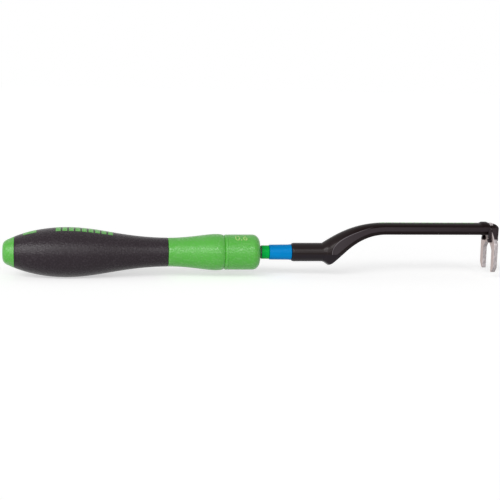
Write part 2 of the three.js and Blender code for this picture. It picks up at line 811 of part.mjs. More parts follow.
// The cover's side view: thick and rounded at the top, thin where the prongs leave it.
function coverSide(x0, roomX1) {
  const topX = roomX1 + COVER_TOP_T;
  const side = new THREE.Shape();
  side.moveTo(x0, COVER_UNDER_Z - FIT);
  side.lineTo(roomX1 + COVER_UNDER_T, COVER_UNDER_Z - FIT);
  side.lineTo(topX, COVER_TOP_Z - COVER_ROUND);
  side.absarc(topX - COVER_ROUND, COVER_TOP_Z - COVER_ROUND, COVER_ROUND, 0, Math.PI / 2);
  side.lineTo(x0, COVER_TOP_Z);
  const options = { depth: 4 * jawOuter, bevelEnabled: false, curveSegments: ARC_STEPS };
  const solid = new THREE.ExtrudeGeometry(side, options).translate(0, 0, -2 * jawOuter);
  return bodyOf(solid.rotateX(Math.PI / 2));
}

function plateRoomOutline() {
  const half = TAB_WIDTH / 2 + FIT;
  const roomTopZ = SHOULDER_TOP_Z + FIT;
  return polygon(
    mirrored([
      [shoulderHalf(SHOULDER_Z, FIT), SHOULDER_Z],
      [shoulderHalf(roomTopZ, FIT), roomTopZ],
      [half, roomTopZ],
      [half, ARM_TOP_Z + ARM_CROWN],
    ]),
  );
}

function keyArm() {
  const sides = [-1, 1];
  const roomX1 = jawX1 + FIT;
  const front = alongX(coverOutline(), JAW_X, roomX1 + COVER_TOP_T);
  const cover = front.intersect(coverSide(JAW_X - FIT, roomX1));
  const wrap = cover.subtract(alongX(plateRoomOutline(), JAW_X - FIT, roomX1));
  const bridges = sides.map((side) => {
    const ends = [side * (TAB_WIDTH / 2 + FIT), (side * BRIDGE_WIDTH) / 2].sort((a, b) => a - b);
    const z0 = SHOULDER_TOP_Z + FIT;
    return block(armX1 - COVER_TOP_T, roomX1 + FIT, ends[0], ends[1], z0, z0 + BRIDGE_HEIGHT);
  });
  const pegs = sides.map((side) => peg(side, PEG_R, JAW_X - PEG_REACH, roomX1 + COVER_UNDER_T / 2));
  const pieces = [...bridges, ...pegs, ...sides.map(gusset)];
  return pieces.reduce((body, piece) => body.add(piece), armBody().add(wrap));
}

// Materials

function material(color, roughness, metalness) {
  return new THREE.MeshStandardMaterial({ color, roughness, metalness });
}

const greenPlastic = () => material(0x5fb54a, 0.5, 0);
const softBlack = () => material(0x3a3638, 0.75, 0);
const armBlack = () => material(0x302c2c, 0.45, 0);
const markerGreen = () => material(0x00a53e, 0.25, 0);
const markerBlue = () => material(0x0082cd, 0.25, 0);
const brightSteel = () => material(0xb4a8a8, 0.35, 1);
const darkSteel = () => material(0x4a4a4e, 0.4, 1);
const bronze = () => material(0x9c7440, 0.4, 1);

const pieces = [
  ['end_cap', endCap(), greenPlastic()],
  ['handle_core', handleCore(), greenPlastic()],
  ['soft_grip', softGrip(), softBlack()],
  ['front_cap', frontCap(), greenPlastic()],
  ['clutch_sleeve', clutchSleeve(), brightSteel()],
  ['lock_nut', lockNut(), darkSteel()],
  ['preset_screw', presetScrew(), darkSteel()],
  ['rear_spring_washer', washer(rearWasherX0, WASHER_BORE_R), brightSteel()],
  ['clutch_spring', clutchSpring(), darkSteel()],
  ['front_spring_washer', washer(frontWasherX0, WASHER_BORE_R), brightSteel()],
  ['drive_ring', driveRing(), darkSteel()],
  ['output_disc', outputDisc(), darkSteel()],
  ['disc_pin', discPin(), brightSteel()],
  ['output_spindle', outputSpindle(), darkSteel()],
  ['socket_magnet', socketMagnet(), brightSteel()],
  ['thrust_washer', washer(thrustX0, SPINDLE_R + FIT), bronze()],
  ['bearing_bush', bearingBush(), bronze()],
  ['blade_shaft', bladeShaft(), brightSteel()],
  ['green_marker_ring', marker(markerRingX0, MARKER_RING_LENGTH, MARKER_RING_R), markerGreen()],
  ['blue_marker_sleeve', marker(markerSleeveX0, MARKER_SLEEVE_LENGTH, MARKER_SLEEVE_R), markerBlue()],
  ['key_arm', keyArm(), armBlack()],
  ['jaw_fork', jawFork(), brightSteel()],
];

console.log(`least gap between the spring's turns: ${springSelfGap().toFixed(2)} mm`);

const torqueWrench = new THREE.Group();
for (const [name, body, look] of pieces) {
  const mesh = new THREE.Mesh(geometryOf(body), look);
  mesh.name = name;
  torqueWrench.add(mesh);
}

export default torqueWrench;
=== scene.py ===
# %% [markdown]
# # A preset torque wrench, dressed for its portrait
# The tool is turned like a screwdriver. A clutch in its handle slips at a set torque, and a cranked key
# with an open steel jaw reaches past a cable to its nut. The packed solids are loaded as a fixed frame,
# and every piece below is built round them. Everything is in metres, with X along the handle's axis from
# the butt to the jaw, Z up, and the side that faces the camera at negative Y. Sizes are written in
# millimetres, because they are easier to read, and multiplied by MM where they enter a mesh.

# %% Frame and units
import json
import math

import bmesh
import bpy
from mathutils import Matrix, Vector


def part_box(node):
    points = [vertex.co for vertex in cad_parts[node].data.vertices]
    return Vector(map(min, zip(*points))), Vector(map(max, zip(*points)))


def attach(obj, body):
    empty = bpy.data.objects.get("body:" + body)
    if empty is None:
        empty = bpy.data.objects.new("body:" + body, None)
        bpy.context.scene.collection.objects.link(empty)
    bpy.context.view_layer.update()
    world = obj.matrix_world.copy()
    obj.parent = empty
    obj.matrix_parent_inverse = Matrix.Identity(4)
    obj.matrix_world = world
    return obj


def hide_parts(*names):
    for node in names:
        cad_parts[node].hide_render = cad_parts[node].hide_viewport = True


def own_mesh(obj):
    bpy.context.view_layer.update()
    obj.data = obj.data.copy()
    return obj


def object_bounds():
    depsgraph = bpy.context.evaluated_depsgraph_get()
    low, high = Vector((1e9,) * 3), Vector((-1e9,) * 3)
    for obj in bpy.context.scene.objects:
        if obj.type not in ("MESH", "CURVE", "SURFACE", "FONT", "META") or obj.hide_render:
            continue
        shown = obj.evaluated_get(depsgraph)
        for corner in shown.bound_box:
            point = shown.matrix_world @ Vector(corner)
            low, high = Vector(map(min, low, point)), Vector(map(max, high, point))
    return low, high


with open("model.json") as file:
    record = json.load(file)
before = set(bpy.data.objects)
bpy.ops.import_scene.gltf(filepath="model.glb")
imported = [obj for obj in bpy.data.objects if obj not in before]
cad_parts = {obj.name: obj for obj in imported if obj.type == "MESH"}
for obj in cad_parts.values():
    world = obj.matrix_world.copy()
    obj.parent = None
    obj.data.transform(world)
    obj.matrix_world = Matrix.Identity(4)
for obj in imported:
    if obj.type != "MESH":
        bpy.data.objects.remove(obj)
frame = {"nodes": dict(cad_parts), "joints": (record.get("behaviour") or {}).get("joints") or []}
cad_box = [list(corner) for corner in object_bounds()]
MM = 0.001
scene = bpy.context.scene
print("CAD box in mm:", [[round(v / MM, 2) for v in corner] for corner in cad_box])

# %% [markdown]
# ## Camera
# The photograph looks at the tool almost square on, with a long lens, from a little above and a little
# towards the butt. A Track To constraint could aim the camera, but it keeps the camera upright, and the
# handle's axis would then run askew in the picture. So the camera's own axes are worked out here, with
# its right along the handle as far as the view allows. A shift of the lens could set the framing, but
# aiming a hair above the axis needs none.

# %% Camera
AIM = Vector((127.5, 0.0, 1.09)) * MM
CAMERA_DISTANCE = 625 * MM
CAMERA_AZIMUTH = math.radians(-8.0)
CAMERA_ELEVATION = math.radians(9.0)
LENS = 85.7

look = Vector((
    -math.sin(CAMERA_AZIMUTH) * math.cos(CAMERA_ELEVATION),
    math.cos(CAMERA_AZIMUTH) * math.cos(CAMERA_ELEVATION),
    -math.sin(CAMERA_ELEVATION),
))
handle_axis = Vector((1.0, 0.0, 0.0))
camera_right = (handle_axis - look * handle_axis.dot(look)).normalized()
camera_up = camera_right.cross(look)
camera = bpy.data.objects.new("camera", bpy.data.cameras.new("camera"))
camera.data.lens = LENS
camera.matrix_world = (
    Matrix.Translation(AIM - look * CAMERA_DISTANCE)
    @ Matrix((camera_right, camera_up, -look)).transposed().to_4x4()
)
scene.collection.objects.link(camera)
scene.camera = camera
print("camera at", [round(v, 3) for v in camera.location])

# %% [markdown]
# ## A small language for nodes
# Materials and Geometry Nodes are both trees of nodes. Laid by hand, even a short formula takes a dozen
# of them. A Wire wraps an output socket, so that sums and products in Python become Math nodes, and a
# formula on the page reads as it would on paper.

# %% Wire
class Wire:
    """An output socket that can stand in a Python expression."""

    def __init__(self, board, socket):
        self.board = board
        self.socket = socket

    def of(self, name):
        """Another output of the same node."""
        return Wire(self.board, self.board.pick(self.socket.node.outputs, name))

    def math(self, operation, *values):
        """This value and others through one Math node."""
        return self.board.number(operation, self, *values)

    def between(self, low, high):
        """0 below low, 1 above high and a soft step between them."""
        settings = {"interpolation_type": "SMOOTHSTEP"}
        return self.board.add("ShaderNodeMapRange", settings, {0: self, 1: low, 2: high})

    def __add__(self, other):
        return self.math("ADD", other)

    def __radd__(self, other):
        return self.math("ADD", other)

    def __sub__(self, other):
        return self.math("SUBTRACT", other)

    def __rsub__(self, other):
        return self.board.number("SUBTRACT", other, self)

    def __mul__(self, other):
        return self.math("MULTIPLY", other)

    def __rmul__(self, other):
        return self.math("MULTIPLY", other)

    def __truediv__(self, other):
        return self.math("DIVIDE", other)


print("a Wire takes + - * / and", [name for name in vars(Wire) if not name.startswith("_")])

# %% [markdown]
# A Board wraps one tree. It adds any node, feeds its sockets and picks a socket by its number or its
# name. A socket that the node's settings switch off is passed over, because many nodes hide a spare
# socket of the same name for each type of data.

# %% Board
class Board:
    """A node tree that grows one node at a time."""

    def __init__(self, tree):
        self.tree = tree

    @staticmethod
    def pick(sockets, key):
        """The socket with that number, or the first one in use with that name."""
        if isinstance(key, int):
            return sockets[key]
        return next(s for s in sockets if s.enabled and s.name == key)

    def add(self, kind, settings=None, inputs=None, output=0):
        """Adds a node: its settings first, then the values or links of its sockets."""
        node = self.tree.nodes.new(kind)
        for name, value in (settings or {}).items():
            setattr(node, name, value)
        self.feed(node, inputs or {})
        return Wire(self, self.pick(node.outputs, output)) if node.outputs else None

    def feed(self, node, inputs):
        """Sets or links a node's sockets."""
        for key, value in inputs.items():
            socket = self.pick(node.inputs, key)
            if isinstance(value, Wire):
                self.tree.links.new(value.socket, socket)
            else:
                socket.default_value = value

    def number(self, operation, *values):
        """One Math node."""
        return self.add("ShaderNodeMath", {"operation": operation}, dict(enumerate(values)))

    def blend(self, share, first, second):
        """A colour that goes from the first to the second as share goes from 0 to 1."""
        return self.add("ShaderNodeMix", {"data_type": "RGBA"}, {0: share, 6: first, 7: second}, 2)


print("a Board can", [name for name in vars(Board) if not name.startswith("_")])

# %% [markdown]
# ## Light and floor
# The photograph has one tall, wide soft box to the left of the camera and plenty of even fill, on white.
# One big area lamp could stand for it, but that lights the near floor more than the far one. Suns light
# the whole floor alike, so two rows of five with wide discs that overlap are used here, brightest some
# way to the left and in the upper row. A plain white world gives the fill, and rays from the camera or
# from a reflection see it as white paper.

# %% Light
FILL = 0.32
BOX_COLUMNS = ((-58.0, 0.19), (-41.0, 0.31), (-24.0, 0.25), (-5.0, 0.1), (13.0, 0.15))
BOX_ROWS = ((32.0, 0.57), (11.0, 0.34))
BOX_DISC = math.radians(20.0)


def seen_as_paper(board):
    """1 for rays from the camera, from a reflection or through glass, and 0 for the light's own rays."""
    path = board.add("ShaderNodeLightPath", None, None, "Is Camera Ray")
    return path.math("MAXIMUM", path.of("Is Glossy Ray")).math("MAXIMUM", path.of("Is Transmission Ray"))


world = bpy.data.worlds.new("studio")
scene.world = world
world.use_nodes = True
sky = Board(world.node_tree)
sky.feed(world.node_tree.nodes["Background"], {
    "Color": (1.0, 1.0, 1.0, 1.0),
    "Strength": FILL + (1.0 - FILL) * seen_as_paper(sky),
})

for elevation, level in BOX_ROWS:
    for azimuth, share in BOX_COLUMNS:
        sun = bpy.data.objects.new("soft_box", bpy.data.lights.new("soft_box", "SUN"))
        sun.data.energy = math.pi * level * share
        sun.data.angle = BOX_DISC
        sun.rotation_euler = (math.radians(90.0 - elevation), 0.0, math.radians(azimuth))
        scene.collection.objects.link(sun)
print(len(BOX_ROWS) * len(BOX_COLUMNS), "suns make the soft box")

# %% [markdown]
# The photograph's ground is plain white. A floor that only glows would be that white, but would take no
# shadow, and the tool would seem to float. A sheet that only takes light comes out grey. So the same rays
# that see the world as paper see a sheet with a faint glow of its own, and for all other light it is a
# plain sheet that throws some of the light back up.

# %% Floor
FLOOR_HALF = 4.0
FLOOR_DROP = 0.15 * MM
PAPER_SEEN, PAPER_GLOW = (0.72, 0.72, 0.72, 1.0), 0.515
PAPER_UNSEEN = (0.88, 0.89, 0.95, 1.0)

floor_z = cad_box[0][2] - FLOOR_DROP
floor_mesh = bpy.data.meshes.new("paper_floor")
floor_mesh.from_pydata(
    [(-FLOOR_HALF, -FLOOR_HALF, floor_z), (FLOOR_HALF, -FLOOR_HALF, floor_z),
     (FLOOR_HALF, FLOOR_HALF, floor_z), (-FLOOR_HALF, FLOOR_HALF, floor_z)],
    [], [(0, 1, 2, 3)],
)
paper_floor = bpy.data.objects.new("paper_floor", floor_mesh)
scene.collection.objects.link(paper_floor)
paper = bpy.data.materials.new("paper")
paper.use_nodes = True
paper_board = Board(paper.node_tree)
paper.node_tree.nodes.remove(paper.node_tree.nodes["Principled BSDF"])
dim = paper_board.add("ShaderNodeBsdfDiffuse", None, {"Color": PAPER_UNSEEN})
white = paper_board.add("ShaderNodeBsdfDiffuse", None, {"Color": PAPER_SEEN})
glow = paper_board.add("ShaderNodeEmission", None, {"Strength": PAPER_GLOW})
lit = paper_board.add("ShaderNodeAddShader", None, {0: white, 1: glow})
paper_board.feed(paper.node_tree.nodes["Material Output"], {
    "Surface": paper_board.add("ShaderNodeMixShader", None, {0: seen_as_paper(paper_board), 1: dim, 2: lit}),
})
floor_mesh.materials.append(paper)
print("floor at", round(floor_z / MM, 2), "mm")

# %% [markdown]
# ## Colours and patterns
# A colour is easiest to write as a screen shows it, from 0 to 255 in red, green and blue. A shader counts
# light instead, and what looks half as bright is only a fifth of the light. One helper turns the first
# into the second, so that every colour below can be read and compared.

# %% Colours
def srgb(red, green, blue):
    """A colour as a picture editor names it, as the linear colour that a shader wants."""
    def linear(level):
        share = level / 255
        return share / 12.92 if share <= 0.04045 else ((share + 0.055) / 1.055) ** 2.4

    return (linear(red), linear(green), linear(blue), 1.0)


print("mid grey in linear light:", round(srgb(128, 128, 128)[0], 3))

# %% [markdown]
# The finishes share a few patterns. They could be painted on a picture and wrapped round each piece, but
# then each piece needs an unwrapping, and the grain stretches where the handle swells. Noise in space
# needs neither. All patterns read Object coordinates, which on every piece are metres in the tool's own
# frame. A grain of 1400 therefore means 1400 grains to the metre, about seven tenths of a millimetre
# each, which is about what the spark-eroded mould left on the real handle.

# %% Finish
class Finish(Board):
    """A material, its shader and the patterns that the finishes share."""

    def __init__(self, name, **plain):
        self.material = bpy.data.materials.new(name)
        self.material.use_nodes = True
        super().__init__(self.material.node_tree)
        self.shader = self.tree.nodes["Principled BSDF"]
        for socket, value in plain.items():
            self.shader.inputs[socket.replace("_", " ")].default_value = value

    def place(self):
        """The point in the tool's own frame, in metres."""
        return self.add("ShaderNodeTexCoord", None, None, "Object")

    def coordinate(self, axis):
        """One coordinate of the point, in millimetres."""
        return self.add("ShaderNodeSeparateXYZ", None, {0: self.place()}, axis) / MM

    def grain(self, scale, detail=2.0, stretch=(1.0, 1.0, 1.0)):
        """Noise with about that many grains to the metre, longer along an axis with a small stretch."""
        at = self.add("ShaderNodeMapping", None, {"Vector": self.place(), "Scale": stretch})
        settings = {"noise_dimensions": "3D"}
        return self.add("ShaderNodeTexNoise", settings, {"Vector": at, "Scale": scale, "Detail": detail})

    def relief(self, height, depth, strength):
        """A bump of that depth in millimetres."""
        inputs = {"Height": height, "Distance": depth * MM, "Strength": strength}
        return self.add("ShaderNodeBump", None, inputs)

    def band(self, value, low, high, soft):
        """1 where value lies between low and high, with soft edges."""
        return value.between(low - soft, low + soft) * (1.0 - value.between(high - soft, high + soft))

    def wear(self, inputs):
        """Feeds the shader and gives the finished material."""
        self.feed(self.shader, inputs)
        print("finish", self.material.name)
        return self.material


print("a Finish adds", [name for name in vars(Finish) if not name.startswith("_")])

# %% [markdown]
# ## Moulded plastics
# The handle is hard green plastic with a fine spark-eroded grain, over-moulded with a black soft-touch
# rubber of a similar grain. Both show the soft light as a band of small bright specks. Displacing the
# mesh could carve the grain, but would take millions of faces. A bump at the size of the grain breaks up
# the light as well, and a coat that covers only the tops of the grain adds the specks, strong on the hard
# green and faint on the soft black. The colour drifts a little over the length, and the grain is polished
# a little where a hand rubs it most.

# %% Green plastic and soft black
def moulded_green(name):
    finish = Finish(name, Specular_IOR_Level=0.5, Coat_Roughness=0.16)
    fine = finish.grain(1400, 2.0)
    drift = finish.grain(40)
    scuff = finish.grain(220, 4.0, (0.25, 1.0, 1.0)).between(0.62, 0.74)
    colour = finish.blend(drift, srgb(68, 162, 44), srgb(78, 168, 54))
    # pale specks on the grain: partly the plastic's own colour, partly painted glints
    colour = finish.blend(fine.between(0.5, 0.7) * 0.06, colour, srgb(136, 200, 112))
    colour = finish.blend(scuff * 0.16, colour, srgb(168, 214, 148))
    return finish.wear({
        "Base Color": colour,
        "Roughness": 0.28 + 0.12 * fine + 0.06 * scuff,
        "Coat Weight": fine.between(0.5, 0.62),
        "Normal": finish.relief(fine, 0.32, 0.7),
    })


def soft_black():
    finish = Finish("soft_black", Specular_IOR_Level=0.23, Coat_Roughness=0.2)
    fine = finish.grain(1200, 2.0)
    drift = finish.grain(35)
    rubbed_and_edge_highlight = finish.grain(160, 3.0, (0.3, 1.0, 1.0)).between(0.5, 0.75)
    colour = finish.blend(drift, srgb(32, 23, 29), srgb(38, 29, 35))
    # paler specks on the grain: partly the rubber's own colour, partly painted glints
    colour = finish.blend(fine.between(0.5, 0.75) * 0.4, colour, srgb(66, 58, 64))
    return finish.wear({
        "Base Color": colour,
        "Roughness": 0.22 + 0.12 * fine - 0.05 * rubbed_and_edge_highlight,
        "Coat Weight": 0.07 * fine.between(0.48, 0.62),
        "Normal": finish.relief(fine, 0.28, 0.7),
    })


GREEN = moulded_green("moulded_green")
SOFT_BLACK = soft_black()

# %% [markdown]
# The key's arm is a harder black plastic, closer to satin, moulded in two halves. The line where the
# halves of the mould met runs along the barrel a little below its middle, and below that line the
# barrel is painted a touch paler and bluer, as painted light for the way light falls on its lower half.
# The flat sides of the crank are painted greyer than the round crest, as painted light that the flats
# catch, and a painted highlight runs along the upper edge of each flat. The faces could have a material
# of their own, but its edge would follow the mesh in steps. The outline of the flat near the heel is
# close to a parabola, so the distance from that curve tells one finish where the flat lies and where
# the painted highlight along its edge runs.

# %% Arm black
PARTING_Z, PARTING_END_X = -0.6, 177.0
LEAF_TIP_X, LEAF_BEND, LEAF_SAG = 170.5, 5.87, 0.092
FLAT_FROM, FLAT_TO = 5.0, 5.16
# where the coat, the painted highlight on the flat's edge and the painted light on the flats fade out along
# the arm
COAT_FADE, EDGE_HIGHLIGHT_FADE, FLAT_LIGHT_FADE = (168.0, 190.0), (176.0, 199.0), (195.0, 255.0)


def arm_black():
    finish = Finish(
        "arm_black", Specular_IOR_Level=0.06, Specular_Tint=(1.0, 0.78, 0.76, 1.0), Coat_Roughness=0.2,
    )
    fine = finish.grain(2600, 2.0)
    flow = finish.grain(90, 3.0, (0.2, 1.0, 1.0))
    along, across, height = (finish.coordinate(axis) for axis in "XYZ")
    past_tip = along - LEAF_TIP_X
    rise = height + LEAF_SAG * past_tip
    steep = (1.0 + rise * rise / LEAF_BEND**2).math("SQRT")
    inside = (past_tip - rise * rise / (2.0 * LEAF_BEND)) / steep
    outward = across.math("ABSOLUTE")
    above = height.between(PARTING_Z - 0.1, PARTING_Z + 0.1)
    # where the flat side lies: it is painted lighter, as painted light that it catches, and made a little
    # rougher
    flat = outward.between(FLAT_FROM, FLAT_TO) * inside.between(-0.05, 0.1) * above
    # painted highlight: a pale line along the upper edge of the flat near the heel
    rubbed_and_edge_highlight = finish.band(inside, -0.12, 0.1, 0.1) * outward.between(4.4, 4.8) * above
    rubbed_and_edge_highlight = rubbed_and_edge_highlight * (1.0 - along.between(*EDGE_HIGHLIGHT_FADE))
    on_barrel = 1.0 - along.between(PARTING_END_X - 2.0, PARTING_END_X + 2.0)
    line = finish.band(height, PARTING_Z - 0.12, PARTING_Z + 0.12, 0.08) * on_barrel
    # below the parting line, where the barrel's lower half is painted as if lit differently
    lower = (1.0 - height.between(PARTING_Z - 0.15, PARTING_Z + 0.15)) * on_barrel
    colour = finish.blend(flow, srgb(15, 6, 7), srgb(23, 13, 14))
    # painted light: the lower half of the barrel paler and bluer than the upper
    colour = finish.blend(lower * 0.6, colour, srgb(27, 22, 30))
    # painted light: the flat sides are painted greyer, less so towards the jaw
    colour = finish.blend(flat * (0.8 - 0.3 * along.between(*FLAT_LIGHT_FADE)), colour, srgb(59, 53, 56))
    # painted highlight along the flat's upper edge
    colour = finish.blend(rubbed_and_edge_highlight * 0.8, colour, srgb(128, 122, 126))
    return finish.wear({
        "Base Color": colour,
        "Roughness": 0.25 + 0.08 * flow + 0.06 * fine + 0.08 * flat,
        "Coat Weight": 0.28 * (1.0 - along.between(*COAT_FADE)),
        "Normal": finish.relief(fine * 0.35 + line * 0.7, 0.09, 0.7),
    })


ARM_BLACK = arm_black()

# %% [markdown]
# The two size marks on the shaft are glossy coloured sleeves with a faint orange-peel surface and fine
# streaks along the way they were drawn. One even colour would look like a toy's, so noise that is
# stretched along the axis gives the streaks and a small bump the peel. One function makes both, so that
# they match.

# %% Marker colours
def glossy_marker(name, deep, bright):
    finish = Finish(name, Specular_IOR_Level=0.06)
    peel = finish.grain(700, 1.0)
    streak = finish.grain(300, 2.0, (0.1, 1.0, 1.0))
    colour = finish.blend(streak.between(0.3, 0.7), deep, bright)
    return finish.wear({
        "Base Color": colour,
        "Roughness": 0.24 + 0.16 * streak,
        "Normal": finish.relief(peel, 0.03, 0.5),
    })


MARKER_GREEN = glossy_marker("marker_green", srgb(0, 160, 60), srgb(0, 172, 70))
MARKER_BLUE = glossy_marker("marker_blue", srgb(0, 118, 182), srgb(0, 130, 196))

# %% [markdown]
# ## Metals
# The jaw is stamped from plate: its broad faces are tumbled smooth, and its cut edges keep the fine tear
# of the die. Two materials could show that, but the rounded edge between them belongs to both. So one
# finish tells the two apart by how far a point lies from the middle of the plate, and blends them over
# the edge.

# %% Stamped steel
PLATE_X0, PLATE_X1 = 256.7, 258.9


def stamped_steel():
    finish = Finish("stamped_steel", Metallic=1.0)
    middle, half = (PLATE_X0 + PLATE_X1) / 2, (PLATE_X1 - PLATE_X0) / 2
    from_middle = (finish.coordinate("X") - middle).math("ABSOLUTE")
    broad = from_middle.between(half - 0.14, half - 0.06)
    tumbled = finish.grain(1400, 4.0)
    torn = finish.grain(2200, 3.0, (1.0, 1.0, 0.3))
    stain = finish.grain(120, 3.0)
    face = finish.blend(stain, srgb(186, 170, 167), srgb(198, 184, 181))
    edge = finish.blend(torn.between(0.3, 0.7), srgb(146, 140, 141), srgb(182, 175, 176))
    height = broad * tumbled * 0.25 + (1.0 - broad) * torn * 0.6
    return finish.wear({
        "Base Color": finish.blend(broad, edge, face),
        "Roughness": 0.58 - 0.1 * broad + 0.12 * tumbled,
        "Normal": finish.relief(height, 0.05, 0.5),
    })


STAMPED_STEEL = stamped_steel()

# %% [markdown]
# The parts inside the clutch are turned, and show fine rings round the axis. Grooves that fine would be
# lost in a mesh, so the finish draws them, as waves of the distance from the axis and along it. One
# function makes steel and bronze alike, because they differ only in colour, polish and the width of their
# rings.

# %% Turned metals
def turned_metal(name, dark, light, rough, rings):
    finish = Finish(name, Metallic=1.0)
    across, height = finish.coordinate("Y"), finish.coordinate("Z")
    radius = (across * across + height * height).math("SQRT")
    wave = ((finish.coordinate("X") + radius) * rings).math("SINE") * 0.5 + 0.5
    stain = finish.grain(260, 3.0)
    return finish.wear({
        "Base Color": finish.blend(stain * 0.7 + wave * 0.3, dark, light),
        "Roughness": rough + 0.12 * stain + 0.06 * wave,
        "Normal": finish.relief(wave, 0.02, 0.4),
    })


BRIGHT_STEEL = turned_metal("bright_steel", srgb(150, 150, 152), srgb(196, 194, 192), 0.24, 24.0)
BLACK_STEEL = turned_metal("black_steel", srgb(40, 41, 44), srgb(66, 66, 70), 0.34, 18.0)
SPRING_STEEL = turned_metal("spring_steel", srgb(78, 80, 86), srgb(126, 128, 132), 0.28, 9.0)
BRONZE = turned_metal("bearing_bronze", srgb(132, 92, 46), srgb(182, 136, 78), 0.3, 20.0)

# %% [markdown]
# ## Turned pieces by Geometry Nodes
# Three trees make the turned pieces, the rows of marks and the spring. Each begins with named inputs, and
# at its end makes instances real and sets the material, because an export drops instances. Two helpers
# write that once for all three.

# %% Ends of a tree
def open_tree(name, inputs):
    tree = bpy.data.node_groups.new(name, "GeometryNodeTree")
    tree.interface.new_socket("Piece", in_out="OUTPUT", socket_type="NodeSocketGeometry")
    for label, kind in inputs.items():
        tree.interface.new_socket(label, in_out="INPUT", socket_type="NodeSocket" + kind)
    board = Board(tree)
    return board, board.add("NodeGroupInput")


def close_tree(board, shape, finish):
    real = board.add("GeometryNodeRealizeInstances", None, {"Geometry": shape})
    dressed = board.add("GeometryNodeSetMaterial", None, {"Geometry": real, "Material": finish})
    board.add("NodeGroupOutput", None, {"Piece": dressed})
    print("tree", board.tree.name, "with", len(board.tree.nodes), "nodes")
    return board.tree


print("node trees so far:", len(bpy.data.node_groups))

# %% [markdown]
# Most of the handle is turned or moulded as a body of revolution. A Screw modifier could turn each
# outline, but one tree with named inputs makes them all, and closes the seam and the poles itself. Its
# input is a profile: a chain of points with the distance along the axis as X and the radius as Z. The
# tree lays a grid, reads the profile by one direction of the grid and an angle by the other, and welds
# what meets.

# %% Turned piece tree
WELD = 1e-6


def turned_piece_tree():
    board, given = open_tree("turned_piece", {"Profile": "Geometry", "Sides": "Int", "Finish": "Material"})
    profile = given.of("Profile")
    count = board.add("GeometryNodeAttributeDomainSize", {"component": "MESH"}, {0: profile}, "Point Count")
    grid = board.add("GeometryNodeMeshGrid", None, {
        "Size X": 1.0, "Size Y": 1.0, "Vertices X": count, "Vertices Y": given.of("Sides") + 1,
    })
    here = board.add("GeometryNodeInputPosition")
    spot = board.add("ShaderNodeSeparateXYZ", None, {0: here})
    station = ((spot.of("X") + 0.5) * (count - 1)).math("ROUND")
    turn = (spot.of("Y") + 0.5) * math.tau
    sample = board.add("GeometryNodeSampleIndex", {"data_type": "FLOAT_VECTOR", "domain": "POINT"}, {
        "Geometry": profile, "Value": here, "Index": station,
    })
    point = board.add("ShaderNodeSeparateXYZ", None, {0: sample})
    radius = point.of("Z")
    place = board.add("ShaderNodeCombineXYZ", None, {
        "X": point.of("X"), "Y": radius * turn.math("SINE"), "Z": radius * turn.math("COSINE"),
    })
    moved = board.add("GeometryNodeSetPosition", None, {"Geometry": grid, "Position": place})
    welded = board.add("GeometryNodeMergeByDistance", None, {"Geometry": moved, "Distance": WELD})
    smooth = board.add("GeometryNodeSetShadeSmooth", None, {"Geometry": welded})
    return close_tree(board, smooth, given.of("Finish"))


TURNED_PIECE = turned_piece_tree()

# %% [markdown]
# A tree's result lives on a carrier object only as long as it takes to read it. The modifier could stay
# live, but a finished piece has to be a plain mesh before it is tied to a body. So the evaluated mesh is
# kept, and the carrier goes.

# %% Growing a mesh
def grown(tree, values, source=None):
    """The mesh that a tree makes from a source mesh and named values."""
    carrier = bpy.data.objects.new("carrier", source or bpy.data.meshes.new("carrier"))
    scene.collection.objects.link(carrier)
    modifier = carrier.modifiers.new("grow", "NODES")
    modifier.node_group = tree
    for item in tree.interface.items_tree:
        if item.in_out == "INPUT" and item.name in values:
            modifier[item.identifier] = values[item.name]
    evaluated = carrier.evaluated_get(bpy.context.evaluated_depsgraph_get())
    mesh = bpy.data.meshes.new_from_object(evaluated)
    carrier.modifiers.remove(modifier)
    bpy.data.objects.remove(carrier)
    return mesh


def turned(profile, finish, sides=128):
    """A mesh turned about the X axis from (x, radius) points in millimetres."""
    chain = list(profile)
    if chain[0][1] > 0 and chain[-1][1] > 0:
        chain.append(chain[0])
    source = bpy.data.meshes.new("profile")
    points = [(x * MM, 0.0, max(r, 0.0) * MM) for x, r in chain]
    source.from_pydata(points, [(i, i + 1) for i in range(len(points) - 1)], [])
    return grown(TURNED_PIECE, {"Sides": sides, "Finish": finish}, source)


print("a turned piece is given", [
    item.name for item in TURNED_PIECE.interface.items_tree if item.in_out == "INPUT"
])

# %% [markdown]
# A finished piece is one mesh with its faces pointing out, one finish, and smooth shading that breaks at
# its creases. It rides on a body of the frame and may stand for one of its nodes. An Edge Split modifier
# could break the shading as well, but marking the creases sharp leaves the mesh closed.

# %% Keeping a piece
CREASE = 35.0


def keep(name, mesh, finish, body, slot, node=None, crease=CREASE):
    """Makes a mesh one finished piece that rides on a body."""
    shape = bmesh.new()
    shape.from_mesh(mesh)
    bmesh.ops.recalc_face_normals(shape, faces=shape.faces)
    shape.to_mesh(mesh)
    shape.free()
    mesh.name = name
    mesh.materials.clear()
    mesh.materials.append(finish)
    mesh.polygons.foreach_set("material_index", [0] * len(mesh.polygons))
    mesh.polygons.foreach_set("use_smooth", [True] * len(mesh.polygons))
    mesh.set_sharp_from_angle(angle=math.radians(crease))
    piece = bpy.data.objects.new(name, mesh)
    scene.collection.objects.link(piece)
    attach(piece, body)
    if node:
        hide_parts(node)
    print(name, len(mesh.polygons), "faces on", body)
    return piece


print(len(frame["nodes"]), "nodes to dress")

# %% [markdown]
# ## The handle's outline
# The handle swells to a belly for the palm, narrows to a neck for the fingers and ends in a collar. Its
# outline is four smooth curves that meet with level tangents at these three, the same curves that the
# solids were turned from. A curve object could be made a mesh, but its points would not fall where a seam
# needs one. So the curves are worked out here: a Bezier curve gives x and height for a share from 0 to 1,
# and the height at a given x is found by halving the share.

